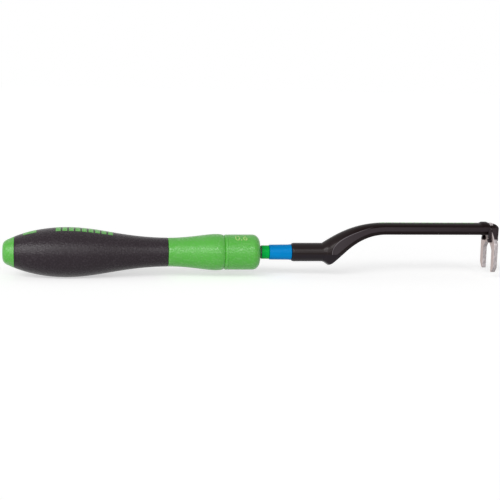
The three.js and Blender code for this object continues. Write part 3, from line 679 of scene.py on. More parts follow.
# %% Outline
BUTT_FLAT, BUTT_CORNER, BUTT_TILT = 3.2, 3.4, math.atan(0.5)
BELLY_X, BELLY_R = 32.3, 12.89
NECK_X, NECK_R = 85.4, 7.51
COLLAR_X, COLLAR_R = 109.0, 9.51
GROOVE_X, GROOVE_R = 113.65, 8.64
HANDLE_CURVES = (
    ((1.88, 6.24), (12.68, 11.64), (24.3, BELLY_R), (BELLY_X, BELLY_R)),
    ((BELLY_X, BELLY_R), (49.3, BELLY_R), (61.6, NECK_R), (NECK_X, NECK_R)),
    ((NECK_X, NECK_R), (94.6, NECK_R), (105.0, COLLAR_R), (COLLAR_X, COLLAR_R)),
    ((COLLAR_X, COLLAR_R), (112.4, COLLAR_R), (113.05, 9.24), (GROOVE_X, GROOVE_R)),
)


def on_curve(curve, share):
    """The point of a Bezier curve at a share from 0 to 1."""
    a, b, c, d = (Vector(point) for point in curve)
    rest = 1.0 - share
    return a * rest**3 + b * 3 * share * rest**2 + c * 3 * share**2 * rest + d * share**3


def height_at(curves, x):
    """The height of a list of joined curves at x, by halving."""
    curve = next((c for c in curves if x <= c[3][0]), curves[-1])
    low, high = 0.0, 1.0
    for _ in range(40):
        middle = (low + high) / 2
        if on_curve(curve, middle)[0] < x:
            low = middle
        else:
            high = middle
    return on_curve(curve, low)[1]


def lerp(a, b, t):
    """The value at a share t of the way from a to b."""
    return a + (b - a) * t


def steps(start, end, step):
    """Even steps from start to end, none longer than step."""
    count = max(2, math.ceil(abs(end - start) / step))
    return [start + (end - start) * k / count for k in range(count + 1)]


def handle_line(x0, x1, step=0.8, inset=0.0):
    """Points of the handle's outline from x0 to x1, moved in by inset."""
    return [(x, height_at(HANDLE_CURVES, x) - inset) for x in steps(x0, x1, step)]


print("radius in mm by x:", {x: round(height_at(HANDLE_CURVES, x), 2) for x in (BELLY_X, NECK_X, COLLAR_X)})

# %% [markdown]
# Corners get small arcs, because a moulded edge is never sharp, and it is the arc that catches the light
# along a seam. A Bevel modifier would do this after the piece is made, but here each corner of a profile
# says how large its own arc is.

# %% Corners
def rounded(corners, arc_steps=5):
    """An outline of (x, r, bend) corners with a small arc at each corner that bends."""
    path = []
    count = len(corners)
    for i, (x, r, bend) in enumerate(corners):
        here = Vector((x, r))
        if bend <= 0:
            path.append((x, r))
            continue
        before = Vector(corners[i - 1][:2]) - here
        after = Vector(corners[(i + 1) % count][:2]) - here
        reach = min(bend, before.length * 0.49, after.length * 0.49)
        start, end = here + before.normalized() * reach, here + after.normalized() * reach
        for k in range(arc_steps + 1):
            t = k / arc_steps
            path.append(tuple(start * (1 - t) ** 2 + here * 2 * t * (1 - t) + end * t * t))
    return path


def plain(points):
    """Points as corners without an arc."""
    return [(x, r, 0.0) for x, r in points]


def steps_line(start, end, step):
    """Points on a straight line, about step apart."""
    count = max(1, round((Vector(end) - Vector(start)).length / step))
    return [tuple(Vector(start).lerp(Vector(end), k / count)) for k in range(count + 1)]


def arc(x, r, radius, start, end, count=12):
    """Points of an arc about (x, r)."""
    angles = (start + (end - start) * k / count for k in range(count + 1))
    return [(x + radius * math.cos(a), r + radius * math.sin(a)) for a in angles]


print("a corner of 1 mm becomes", len(rounded([(0, 0, 1), (5, 0, 0), (0, 5, 0)])) - 2, "points")

# %% [markdown]
# ## Handle shells
# The green end cap closes the butt and plugs into the bore. The soft sleeve is a shell nearly two
# millimetres thick. Where it meets the green at either end, both edges are rounded, and the gap between
# them shows as a thin dark seam. A dark line in the material could stand for the seam, but a real gap
# takes its shadow and its bright edge from any side.

# %% End cap and soft grip
END_X, SEAM_X, SEAM_GAP = 6.0, 84.4, 0.1
GRIP_T = 1.9
PLUG_R, PLUG_X = 3.2, 14.0


def end_cap_profile():
    butt = arc(BUTT_CORNER, BUTT_FLAT, BUTT_CORNER, math.pi, math.pi / 2 + BUTT_TILT)
    side = handle_line(butt[-1][0], END_X, 0.4)
    return rounded([
        (0.0, 0.0, 0.0), *plain(butt), *plain(side[1:-1]),
        (END_X, side[-1][1], 0.22), (END_X, PLUG_R, 0.0), (PLUG_X, PLUG_R, 0.3), (PLUG_X, 0.0, 0.0),
    ])


def soft_grip_profile():
    x0, x1 = END_X + SEAM_GAP, SEAM_X - SEAM_GAP
    outer = handle_line(x0, x1)
    inner = handle_line(x1, x0, 6.0, GRIP_T)
    return rounded([
        (*outer[0], 0.2), *plain(outer[1:-1]), (*outer[-1], 0.3), *plain(inner),
    ])


cap_mesh = turned(end_cap_profile(), GREEN)
keep("end_cap_shell", cap_mesh, GREEN, "handle", "green_plastic", "end_cap")
grip_mesh = turned(soft_grip_profile(), SOFT_BLACK)
keep("soft_grip_sleeve", grip_mesh, SOFT_BLACK, "handle", "soft_grip_black", "soft_grip")

# %% [markdown]
# The green core runs through the grip and swells into the clutch housing in front of it. The front cap
# closes the housing. Between the two is a V-shaped groove, with a bead and a fine turned line just in
# front of it. Boolean cuts could carve these, but in a turned outline a groove is only a few more points.

# %% Core and front cap
FRONT_X, CAP_R, CAP_ROUND, CAP_GAP = 132.3, 9.24, 3.8, 0.02
BEAD_FROM, BEAD_TO = 0.6, 1.5
LINE_FROM, LINE_TO, LINE_END = 1.65, 1.9, 2.05
CORE_BORE, CAVITY_X, CAVITY_R, SPIGOT_R, SPIGOT_X = 3.5, 85.4, 6.5, 7.7, 121.2
CORE_GAP = 0.3
LINE_R, LINE_DEPTH = CAP_R - 0.02, 0.16
NOSE_BORE, BUSH_X, BUSH_R = 3.66, 131.1, 5.2
SHELF_X, SHELF_R, MOUTH_X, MOUTH_R = 122.0, 6.3, 121.3, 8.0


def core_profile():
    x0 = END_X + SEAM_GAP
    hidden = handle_line(x0, SEAM_X, 8.0, GRIP_T + CORE_GAP)
    shown = handle_line(SEAM_X, GROOVE_X, 0.45)
    return rounded([
        (x0, CORE_BORE, 0.0), *plain(hidden), (*shown[0], 0.3), *plain(shown[1:]),
        (GROOVE_X, SPIGOT_R, 0.0), (SPIGOT_X, SPIGOT_R, 0.0),
        (SPIGOT_X, CAVITY_R, 0.0), (CAVITY_X, CAVITY_R, 0.0), (CAVITY_X, CORE_BORE, 0.0),
    ])


def front_cap_profile():
    x0 = GROOVE_X + CAP_GAP
    line_bottom = CAP_R - LINE_DEPTH
    round_x, round_r = FRONT_X - CAP_ROUND, CAP_R - CAP_ROUND
    corner = arc(round_x, round_r, CAP_ROUND, math.pi / 2, 0.0, 16)
    return rounded([
        (x0, MOUTH_R, 0.0), (x0, GROOVE_R, 0.1), (x0 + BEAD_FROM, CAP_R, 0.35), (x0 + BEAD_TO, CAP_R, 0.1),
        (x0 + LINE_FROM, line_bottom, 0.05), (x0 + LINE_TO, line_bottom, 0.05), (x0 + LINE_END, LINE_R, 0.1),
        *plain(steps_line((x0 + 2.6, LINE_R), (round_x - 0.8, CAP_R), 1.5)), *plain(corner),
        (FRONT_X, NOSE_BORE, 0.2), (BUSH_X, NOSE_BORE, 0.0), (BUSH_X, BUSH_R, 0.0), (SHELF_X, BUSH_R, 0.0),
        (SHELF_X, SHELF_R, 0.0), (MOUTH_X, SHELF_R, 0.0), (MOUTH_X, MOUTH_R, 0.0),
    ])


core_mesh = turned(core_profile(), GREEN)
keep("handle_core_shell", core_mesh, GREEN, "handle", "green_plastic", "handle_core")
front_mesh = turned(front_cap_profile(), GREEN)
keep("front_cap_shell", front_mesh, GREEN, "handle", "green_plastic", "front_cap")

# %% [markdown]
# ## Size marks on the shaft
# Two short sleeves sit on the hexagon shaft between the handle and the arm: a green ring and a longer
# blue sleeve. The blue one has a raised rim at its front end. A cylinder with a Bevel modifier would come
# close, but turning them from an outline like the handle's puts the rim and the rounded lips in at once.

# %% Marker sleeves
SLEEVE_BORE = 2.5
RIM_FROM, RIM_FULL = 1.4, 0.9
MARKERS = (
    ("green_marker_ring", 3.55, 3.55, MARKER_GREEN, "marker_green"),
    ("blue_marker_sleeve", 3.92, 4.12, MARKER_BLUE, "marker_blue"),
)


def marker_profile(x0, x1, radius, rim):
    return rounded([
        (x0, SLEEVE_BORE, 0.1), (x0, radius, 0.3), (x1 - RIM_FROM, lerp(radius, rim, 0.5), 0.3),
        (x1 - RIM_FULL, rim, 0.3), (x1, rim, 0.35), (x1, SLEEVE_BORE, 0.1),
    ], 6)


for node, radius, rim, finish, slot in MARKERS:
    low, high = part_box(node)
    mesh = turned(marker_profile(low.x / MM, high.x / MM, radius, rim), finish)
    keep(node + "_gloss", mesh, finish, "key", slot, node)

# %% [markdown]
# ## Cranked arm
# The arm starts as a round barrel, flares all round into a heel and climbs to a slim straight bar with an
# arched crest, flat sides and a narrow underside. A bevelled curve could sweep one section along the
# crank, but the section turns from round to flat-sided on the way. So the arm is lofted over a row of
# sections, and the first step is the side view: four lines for the crest, the upper and lower edge of the
# flat side, and the underside. The flat starts as the tip of a leaf just past the heel. Near the jaw the
# crest has a small step.

# %% Side view of the arm
BARREL_X0, BARREL_X1, BARREL_R = 149.4, 165.9, 4.9
HEEL_X, HEEL_Z = 170.2, -7.27
CRANK_X1, ARM_X1 = 199.9, 256.4
ARM_TOP, ARM_UNDER = 15.84, 9.74
SIDE_HIGH, SIDE_LOW = 13.9, 11.85
ARM_HALF, UNDER_HALF = 5.2, 3.3
HEEL_SOFT = 0.9
LEAF_X, LEAF_END_X, LEAF_Z, LEAF_LEAST = 169.6, 172.6, -0.6, 0.3
STEP_UP, STEP_UP_X = 0.68, (251.4, 253.0)
STEP_DOWN, STEP_DOWN_X = 0.5, (255.2, 256.5)
CRANK_TOP = (((BARREL_X1, BARREL_R), (176.8, 12.2), (187.0, ARM_TOP), (CRANK_X1, ARM_TOP)),)
CRANK_UNDER = (
    ((BARREL_X1, -BARREL_R), (167.3, -BARREL_R), (168.8, HEEL_Z), (HEEL_X, HEEL_Z)),
    ((HEEL_X, HEEL_Z), (174.6, -4.57), (182.8, ARM_UNDER), (CRANK_X1, ARM_UNDER)),
)
SIDE_TOP = (((LEAF_X, LEAF_Z), (169.9, 4.5), (182.5, SIDE_HIGH), (CRANK_X1, SIDE_HIGH)),)
SIDE_UNDER = (
    ((LEAF_X, LEAF_Z), (170.6, LEAF_Z), (171.6, LEAF_Z), (LEAF_END_X, LEAF_Z)),
    ((LEAF_END_X, LEAF_Z), (176.0, 1.0), (182.5, SIDE_LOW), (CRANK_X1, SIDE_LOW)),
)


def smooth(x, low, high):
    """0 below low, 1 above high and a soft step between them."""
    t = min(max((x - low) / (high - low), 0.0), 1.0)
    return t * t * (3 - 2 * t)


def section_heights(x):
    """Underside, lower edge, upper edge and crest of the arm at x."""
    inside = min(max(x, BARREL_X1), CRANK_X1)
    top = height_at(CRANK_TOP, inside) + STEP_UP * smooth(x, *STEP_UP_X)
    top -= STEP_DOWN * smooth(x, *STEP_DOWN_X)
    nearby = [min(max(inside + d, BARREL_X1), CRANK_X1) for d in (-HEEL_SOFT, 0.0, HEEL_SOFT)]
    under = sum(height_at(CRANK_UNDER, at) for at in nearby) / len(nearby)
    low = height_at(SIDE_UNDER, max(inside, LEAF_X))
    edge = max(height_at(SIDE_TOP, max(inside, LEAF_X)), low + LEAF_LEAST)
    return under, low, edge, top


print("heights of the straight bar in mm:", [round(z, 2) for z in section_heights(220.0)])

# %% [markdown]
# Each section is a closed ring of points. On the bar it has an arched crest, two flats and a bevelled
# underside, on the barrel it is a circle, and over the heel one turns into the other. All sections have
# the same number of points, so that a skin can join them.

# %% Arm sections
CROWN_ANGLE = math.pi / 3
HEEL_FLARE, FLARE_END = 0.78, 1.4
CRANK_EXTRA, CRANK_EXTRA_X = 0.5, (172.0, 192.0)
SQUARED_X = (HEEL_X - 3.0, HEEL_X + 8.0)
FLAT_X = (LEAF_X - 0.4, LEAF_X + 2.6)


def crest(half, edge, top, count):
    """Points on half of an arched crest, from its edge to its top."""
    drop = (top - edge) / (1 - math.cos(CROWN_ANGLE))
    angles = (CROWN_ANGLE * (1 - k / count) for k in range(count + 1))
    return [(half * math.sin(a) / math.sin(CROWN_ANGLE), top - drop * (1 - math.cos(a))) for a in angles]


def arm_section(x):
    """A closed section of the arm in (y, z), from the middle of its underside round."""
    under, low, edge, top = section_heights(x)
    body_half = ARM_HALF + CRANK_EXTRA * (1.0 - smooth(x, *CRANK_EXTRA_X))
    arch = crest(body_half, edge, top, 24)
    half = rounded([
        (0.0, under, 0.0), (UNDER_HALF, under, 0.5), (body_half, low, 0.4),
        (*arch[0], 0.3), *plain(arch[2:]),
    ])
    round_half = BARREL_R + HEEL_FLARE * smooth(x, BARREL_X1, HEEL_X - FLARE_END)
    squared = smooth(x, *SQUARED_X)
    side = lerp(round_half + 0.1, ARM_HALF, smooth(x, *FLAT_X))
    middle, tall = (top + under) / 2, (top - under) / 2
    shaped = []
    for y, z in half:
        angle = math.atan2((z - middle) / tall, y / BARREL_R)
        y = lerp(round_half * math.cos(angle), y, squared)
        shaped.append((min(y, side), lerp(middle + tall * math.sin(angle), z, squared)))
    return shaped + [(-y, z) for y, z in reversed(shaped[1:-1])]


print("arm section points:", len(arm_section(200.0)))

# %% [markdown]
# The skin is made face by face between each section and the next, and closed at both ends. Bridging the
# edge loops would join them too, but it guesses which points belong together, and here they are known.
# The sections lie close together where the heel turns, and far apart along the straight bar.

# %% Loft
FAR_STATION_X = 250.0
HEEL_PACE, CRANK_PACE, BAR_PACE, END_PACE = 0.2, 0.6, 4.0, 0.4


def loft(rings):
    """A closed skin over rings of equally many (x, y, z) points in millimetres."""
    shape = bmesh.new()
    rows = [[shape.verts.new(Vector(point) * MM) for point in ring] for ring in rings]
    count = len(rows[0])
    for near, far in zip(rows, rows[1:]):
        for i in range(count):
            shape.faces.new((near[i], near[(i + 1) % count], far[(i + 1) % count], far[i]))
    shape.faces.new(rows[0])
    shape.faces.new(rows[-1])
    return shape


ARM_STATIONS = steps(BARREL_X1, LEAF_END_X, HEEL_PACE)
for end, step in ((CRANK_X1, CRANK_PACE), (FAR_STATION_X, BAR_PACE), (ARM_X1, END_PACE)):
    ARM_STATIONS += steps(ARM_STATIONS[-1], end, step)[1:]


def arm_shape():
    return loft([[(x, y, z) for y, z in arm_section(x)] for x in ARM_STATIONS])


print(len(ARM_STATIONS), "sections along the arm")

# %% [markdown]
# The end of the arm is moulded round the steel plate: a cover in front that is thick at the top and thin
# at the bottom, walls that grip the plate's sloped shoulders, two bridges beside the plate's tab, two
# pegs that go through it, and a rib above each peg behind it. A Boolean union could make one skin of
# them, but it leaves long thin faces that shade badly. So each is a closed shell of its own that sinks
# into its neighbours, as the flows of plastic do in the mould. The cover comes first, lofted from the
# bottom up.

# %% Cover
COVER_X0, COVER_ROUND = 259.2, 1.8
COVER_TOP, COVER_UNDER = 15.58, 7.2
COVER_TOP_HALF, COVER_UNDER_HALF = 5.6, 8.3
COVER_ROUND_Z = COVER_TOP - COVER_ROUND
COVER_THIN, COVER_THICK, COVER_LEAST = 0.35, 1.6, 0.6
COVER_SINK, ROUND_BACK, ROUND_LEAST = 0.05, 0.2, 0.3
SHOULDER_LOW, SHOULDER_HIGH = (10.7, 6.0), (4.2, 13.6)


def cover_half(z):
    """Half the cover's width at height z."""
    if z <= SHOULDER_HIGH[1]:
        climbed = (z - COVER_UNDER) / (SHOULDER_HIGH[1] - COVER_UNDER)
        return lerp(COVER_UNDER_HALF, COVER_TOP_HALF, climbed)
    share = (COVER_TOP - z) / (COVER_TOP - SHOULDER_HIGH[1])
    angle = math.acos(1 - share * (1 - math.cos(CROWN_ANGLE)))
    return max(COVER_TOP_HALF * math.sin(angle) / math.sin(CROWN_ANGLE), COVER_LEAST)


def cover_front(z):
    """How far forward the cover reaches at height z."""
    if z <= COVER_ROUND_Z:
        climbed = (z - COVER_UNDER) / (COVER_ROUND_Z - COVER_UNDER)
        return lerp(COVER_X0 + COVER_THIN, COVER_X0 + COVER_THICK, climbed)
    reach = max(COVER_ROUND**2 - (z - COVER_ROUND_Z) ** 2, ROUND_LEAST**2)
    return COVER_X0 - ROUND_BACK + math.sqrt(reach)


def cover_shape():
    rings, back = [], COVER_X0 - COVER_SINK
    for z in steps(COVER_UNDER, COVER_ROUND_Z, 0.8) + steps(COVER_ROUND_Z, COVER_TOP - 0.02, 0.12)[1:]:
        half, front = cover_half(z), cover_front(z)
        corners = rounded([
            (back, -half, 0.0), (front, -half, 0.3), (front, half, 0.3), (back, half, 0.0),
        ], 4)
        rings.append([(x, y, z) for x, y in corners])
    return loft(rings)


print("cover is", round(cover_front(14.0) - COVER_X0, 2), "mm thick near its top")

# %% [markdown]
# The walls follow the plate's sloped shoulders a few hundredths of a millimetre away and grow thinner
# towards the bottom, where they end in an edge. A Solidify modifier gives one thickness all over, so they
# are lofted upwards like the cover, with a thickness for each height.

# %% Walls
WALL_UNDER, WALL_THICK, WALL_GAP = 8.1, 0.4, 0.04
WALL_BACK_LOW, WALL_BACK_HIGH, WALL_BACK_Z = 0.7, 0.2, 13.4
WALL_FRONT = COVER_X0 + 0.2


def shoulder_half(z, grow):
    """Half the plate's width at height z on its sloped shoulder, moved outward by grow."""
    run, rise = SHOULDER_HIGH[0] - SHOULDER_LOW[0], SHOULDER_HIGH[1] - SHOULDER_LOW[1]
    length = math.hypot(run, rise)
    start_y, start_z = SHOULDER_LOW[0] + grow * rise / length, SHOULDER_LOW[1] - grow * run / length
    return start_y + (z - start_z) * run / rise


def wall_shape(side):
    rings = []
    for z in steps(WALL_UNDER, SHOULDER_HIGH[1] + 0.4, 0.4):
        inner = shoulder_half(z, WALL_GAP)
        outer = max(inner + WALL_THICK * smooth(z, WALL_UNDER - 0.3, WALL_UNDER + 1.5), cover_half(z))
        back = PLATE_X0 + lerp(WALL_BACK_LOW, WALL_BACK_HIGH, smooth(z, WALL_UNDER, WALL_BACK_Z))
        corners = rounded([
            (back, inner, 0.0), (WALL_FRONT, inner, 0.0), (WALL_FRONT, outer, 0.0), (back, outer, 0.3),
        ], 4)
        rings.append([(x, side * y, z) for x, y in corners])
    return loft(rings)


print("walls reach", round(shoulder_half(WALL_UNDER, WALL_GAP), 2), "mm out at their foot")

# %% [markdown]
# Ribs and bridges are upright blocks with bevelled edges. The pegs are turned like the handle pieces, and
# then stretched to ovals and moved into place. The object could be scaled and moved, but a finished piece
# has to sit at the origin, so that is done to the mesh itself.

# %% Ribs, bridges and pegs
PEG_Y, PEG_Z, PEG_R, PEG_OVAL, PEG_REACH, PEG_X1 = 4.8, 7.05, 1.05, 1.48, 1.55, 259.4
RIB_UNDER, RIB_TOP = 8.22, 12.8
RIB_EDGE, BRIDGE_EDGE = 0.12, 0.2
BRIDGE_X, BRIDGE_Y, BRIDGE_Z = (254.6, 259.5), (2.1, 4.2), (13.75, 14.75)


def prism(points, z0, z1, bevel):
    """An upright prism over (x, y) points, with its edges rounded."""
    shape = loft([[(x, y, z) for x, y in points] for z in (z0, z1)])
    bmesh.ops.recalc_face_normals(shape, faces=shape.faces)
    bmesh.ops.bevel(
        shape, geom=list(shape.edges), offset=bevel * MM, segments=3, affect="EDGES", profile=0.5,
        clamp_overlap=True,
    )
    return shape


def rib_shape(side):
    inner, outer = side * (PEG_Y - PEG_R), side * (PEG_Y + PEG_R * PEG_OVAL)
    x0, x1 = PLATE_X0 - PEG_REACH, PLATE_X0 - 0.05
    return prism([(x0, inner), (x1, inner), (x1, outer), (x0, outer)], RIB_UNDER, RIB_TOP, RIB_EDGE)


def bridge_shape(side):
    (x0, x1), (inner, outer) = BRIDGE_X, (side * y for y in BRIDGE_Y)
    return prism([(x0, inner), (x1, inner), (x1, outer), (x0, outer)], *BRIDGE_Z, BRIDGE_EDGE)


def peg_mesh(side):
    x0, x1 = PLATE_X0 - PEG_REACH, PEG_X1
    profile = rounded([(x0, 0.0, 0.0), (x0, PEG_R, 0.5), (x1, PEG_R, 0.0), (x1, 0.0, 0.0)])
    mesh = turned(profile, ARM_BLACK, 32)
    place = Matrix.Translation(Vector((0.0, side * PEG_Y, PEG_Z)) * MM)
    mesh.transform(place @ Matrix.Diagonal((1.0, PEG_OVAL, 1.0, 1.0)))
    return mesh


print("pegs are", round(2 * PEG_R * PEG_OVAL, 2), "mm wide and", 2 * PEG_R, "mm high")

# %% [markdown]
# The barrel is turned like the handle pieces, with a rounded lip round its mouth. The lofted arm and the
# shells at its end could each be a piece of their own, but one solid stands for all of them, so they are
# joined in one mesh.

# %% Key arm
BARREL_BORE, BARREL_MOUTH, BORE_X1 = 2.6, 4.4, 164.4
ARM_CREASE = 42.0


def barrel_profile():
    return rounded([
        (BARREL_X0, BARREL_BORE, 0.15), (BARREL_X0, BARREL_MOUTH, 0.25), (BARREL_X0 + 0.8, BARREL_R, 0.5),
        *plain(steps_line((BARREL_X0 + 2.0, BARREL_R), (BARREL_X1, BARREL_R), 2.0)),
        (BARREL_X1, 0.0, 0.0), (BORE_X1, 0.0, 0.0), (BORE_X1, BARREL_BORE, 0.0),
    ])


def joined(meshes, shapes):
    """One mesh from several meshes and bmesh shapes."""
    whole = bmesh.new()
    for mesh in meshes:
        whole.from_mesh(mesh)
    for shape in shapes:
        part = bpy.data.meshes.new("part")
        shape.to_mesh(part)
        shape.free()
        whole.from_mesh(part)
    mesh = bpy.data.meshes.new("joined")
    whole.to_mesh(mesh)
    whole.free()
    return mesh


both = (-1, 1)
end_shapes = [make(side) for make in (wall_shape, rib_shape, bridge_shape) for side in both]
arm_mesh = joined(
    [turned(barrel_profile(), ARM_BLACK, 96), *(peg_mesh(side) for side in both)],
    [arm_shape(), cover_shape(), *end_shapes],
)
keep("key_arm_moulding", arm_mesh, ARM_BLACK, "key", "arm_black", "key_arm", ARM_CREASE)

# %% [markdown]
# ## Steel jaw
# The jaw is one stamped plate with two prongs, holes for the pegs and a tab at its top. Its outline is
# the same on both sides, so one half is written down, with an arc for each corner, and turned over for
# the other. A Mirror modifier could do that to the finished mesh, but would leave a seam down its middle.

# %% Jaw outline
JAW_HALF, JAW_TIP_Z, TAB_HALF, TAB_TOP = 6.6, -9.7, 1.8, 15.8
PEG_ROOM = 0.12
HALF_OUTLINE = (
    (3.4, 5.3, 0.5), (JAW_HALF, 2.1, 0.6), (JAW_HALF, JAW_TIP_Z, 0.7), (7.9, JAW_TIP_Z, 0.9),
    (SHOULDER_LOW[0], -6.7, 1.2), (*SHOULDER_LOW, 0.6), (*SHOULDER_HIGH, 0.3),
    (TAB_HALF, SHOULDER_HIGH[1], 0.25), (TAB_HALF, TAB_TOP, 0.3),
)


def plate_outline():
    far = [(-y, z, bend) for y, z, bend in reversed(HALF_OUTLINE)]
    return rounded([*HALF_OUTLINE, *far], 6)


def oval(y, z, radius, stretch, count=32):
    """Points round an oval about (y, z)."""
    angles = (math.tau * k / count for k in range(count))
    return [(y + stretch * radius * math.cos(a), z + radius * math.sin(a)) for a in angles]


holes = [oval(side * PEG_Y, PEG_Z, PEG_R + PEG_ROOM, PEG_OVAL) for side in both]
print(len(plate_outline()), "points round the jaw and", len(holes), "holes")

# %% [markdown]
# A block with Boolean holes could be the plate, but its edges would still need rounding. A flat curve
# gives a plate with holes and rounded edges at once: it is filled, thickened and bevelled, and then made
# a mesh and stood up square to the handle's axis.

# %% Jaw plate
PLATE_EDGE = 0.22


def plate_mesh(loops, thickness, edge):
    """A plate with holes from closed loops of points, in its own flat plane."""
    curve = bpy.data.curves.new("plate", "CURVE")
    curve.dimensions = "2D"
    curve.fill_mode = "BOTH"
    curve.extrude = (thickness / 2 - edge) * MM
    curve.bevel_depth = edge * MM
    curve.bevel_resolution = 2
    curve.offset = -edge * MM
    for loop in loops:
        spline = curve.splines.new("POLY")
        spline.points.add(len(loop) - 1)
        for point, (y, z) in zip(spline.points, loop):
            point.co = (y * MM, z * MM, 0.0, 1.0)
        spline.use_cyclic_u = True
    carrier = bpy.data.objects.new("plate", curve)
    scene.collection.objects.link(carrier)
    mesh = bpy.data.meshes.new_from_object(carrier.evaluated_get(bpy.context.evaluated_depsgraph_get()))
    bpy.data.objects.remove(carrier)
    return mesh


jaw_mesh = plate_mesh([plate_outline(), *holes], PLATE_X1 - PLATE_X0, PLATE_EDGE)
flat_to_upright = Matrix(((0, 0, 1, 0), (1, 0, 0, 0), (0, 1, 0, 0), (0, 0, 0, 1)))
jaw_mesh.transform(Matrix.Translation(((PLATE_X0 + PLATE_X1) / 2 * MM, 0.0, 0.0)) @ flat_to_upright)
weld = bmesh.new()
weld.from_mesh(jaw_mesh)
bmesh.ops.remove_doubles(weld, verts=weld.verts, dist=WELD)
weld.to_mesh(jaw_mesh)
weld.free()
keep("jaw_plate", jaw_mesh, STAMPED_STEEL, "key", "bright_steel", "jaw_fork")

# %% [markdown]
# ## Inlaid marks
# The top of the grip has a plain block and a row of bars in which the green core shows, and the arm's
# crest has a row of green dashes. A Shrinkwrap modifier could press bars on to the surface, but by the
# nearest point, which bunches them where the surface bends. So one tree lays a row of bars and drops
# every point of them along a ray on to the piece below: towards the axis on the handle, straight down on
# the arm.

# %% Inlay tree
RAY_START, RAY_LENGTH = 0.03, 0.1
BAR_POINTS = {"Vertices X": 7, "Vertices Y": 15, "Vertices Z": 2}


def inlay_row_tree():
    board, given = open_tree("inlay_row", {
        "Geometry": "Geometry", "Count": "Int", "Start": "Float", "Pitch": "Float", "Bar Length": "Float",
        "Bar Width": "Float", "Proud": "Float", "Wrap Radius": "Float", "Centre Height": "Float",
        "Surface": "Object", "Finish": "Material",
    })
    start = board.add("ShaderNodeCombineXYZ", None, {"X": given.of("Start")})
    pitch = board.add("ShaderNodeCombineXYZ", None, {"X": given.of("Pitch")})
    row = board.add("GeometryNodeMeshLine", None, {
        "Count": given.of("Count"), "Start Location": start, "Offset": pitch,
    })
    size = board.add("ShaderNodeCombineXYZ", None, {
        "X": given.of("Bar Length"), "Y": given.of("Bar Width"), "Z": given.of("Proud") * 2.0,
    })
    block = board.add("GeometryNodeMeshCube", None, {"Size": size, **BAR_POINTS})
    bars = board.add("GeometryNodeInstanceOnPoints", None, {"Points": row, "Instance": block})
    loose = board.add("GeometryNodeRealizeInstances", None, {"Geometry": bars})
    spot = board.add("ShaderNodeSeparateXYZ", None, {0: board.add("GeometryNodeInputPosition")})
    angle = spot.of("Y") / given.of("Wrap Radius")
    sine, cosine = angle.math("SINE"), angle.math("COSINE")
    reach = given.of("Wrap Radius") + RAY_START
    source = board.add("ShaderNodeCombineXYZ", None, {
        "X": spot.of("X"), "Y": reach * sine, "Z": given.of("Centre Height") + reach * cosine,
    })
    inward = board.add("ShaderNodeCombineXYZ", None, {"Y": 0.0 - sine, "Z": 0.0 - cosine})
    target = board.add("GeometryNodeObjectInfo", {"transform_space": "ORIGINAL"}, {
        "Object": given.of("Surface"),
    }, "Geometry")
    hit = board.add("GeometryNodeRaycast", None, {
        "Target Geometry": target, "Source Position": source,
        "Ray Direction": inward, "Ray Length": RAY_LENGTH,
    }, "Hit Position")
    lift = board.add("ShaderNodeVectorMath", {"operation": "SCALE"}, {
        0: hit.of("Hit Normal"), "Scale": spot.of("Z"),
    })
    place = board.add("ShaderNodeVectorMath", {"operation": "ADD"}, {0: hit, 1: lift})
    laid = board.add("GeometryNodeSetPosition", None, {"Geometry": loose, "Position": place})
    return close_tree(board, laid, given.of("Finish"))


INLAY_ROW = inlay_row_tree()

# %% [markdown]
# The marks on the handle wrap round its axis. The dashes on the arm could have a tree of their own, but a
# very large wrap radius with its centre as far below makes the rays as good as parallel, so that one tree
# does for both.

# %% Inlays
INLAY_GREEN = moulded_green("inlay_green")


def inlay(name, surface, body, count, start, pitch, length, width, proud, wrap, centre=0.0):
    mesh = grown(INLAY_ROW, {
        "Count": count, "Start": start * MM, "Pitch": pitch * MM, "Bar Length": length * MM,
        "Bar Width": width * MM, "Proud": proud * MM, "Wrap Radius": wrap * MM, "Centre Height": centre * MM,
        "Surface": bpy.data.objects[surface], "Finish": INLAY_GREEN,
    })
    return keep(name, mesh, INLAY_GREEN, body, "green_plastic")


inlay(
    "grip_mark", "soft_grip_sleeve", "handle",
    count=1, start=13.8, pitch=1.0, length=6.8, width=7.6, proud=0.06, wrap=11.5,
)
inlay(
    "grip_bars", "soft_grip_sleeve", "handle",
    count=9, start=28.2, pitch=3.3, length=2.5, width=10.4, proud=0.06, wrap=12.5,
)
inlay(
    "arm_dashes", "key_arm_moulding", "key",
    count=14, start=198.0, pitch=3.8, length=2.6, width=1.6, proud=0.05, wrap=1000.0, centre=-1000.0,
)

# %% [markdown]
# ## Printed figures
# The front cap carries its torque in plain figures near its top, printed so thinly that the green shows
# through here and there. Clear paint over the green could show that, but two pale greens in patches look
# the same from a little way off and are simpler.

# %% Pale print
def print_pale():
    finish = Finish("pale_print", Specular_IOR_Level=0.3)
    patch = finish.grain(1600, 3.0)
    return finish.wear({
        "Base Color": finish.blend(patch.between(0.35, 0.7), srgb(128, 188, 92), srgb(190, 212, 140)),
        "Roughness": 0.5 + 0.2 * patch,
    })


PALE_PRINT = print_pale()

# %% [markdown]
# The figures could be drawn in the cap's own finish, but that would take a picture of them. So text is
# made a mesh, cut into small faces so that it can bend, and wrapped round the cap a few hundredths of a
# millimetre proud.

# %% Figures on the cap
FIGURE_BASE = math.radians(40.0)
FIGURE_EDGE, FIGURE_PROUD = 0.5, 0.02
FIGURE_ROUNDS, FIGURE_WELD = 4, 1e-7


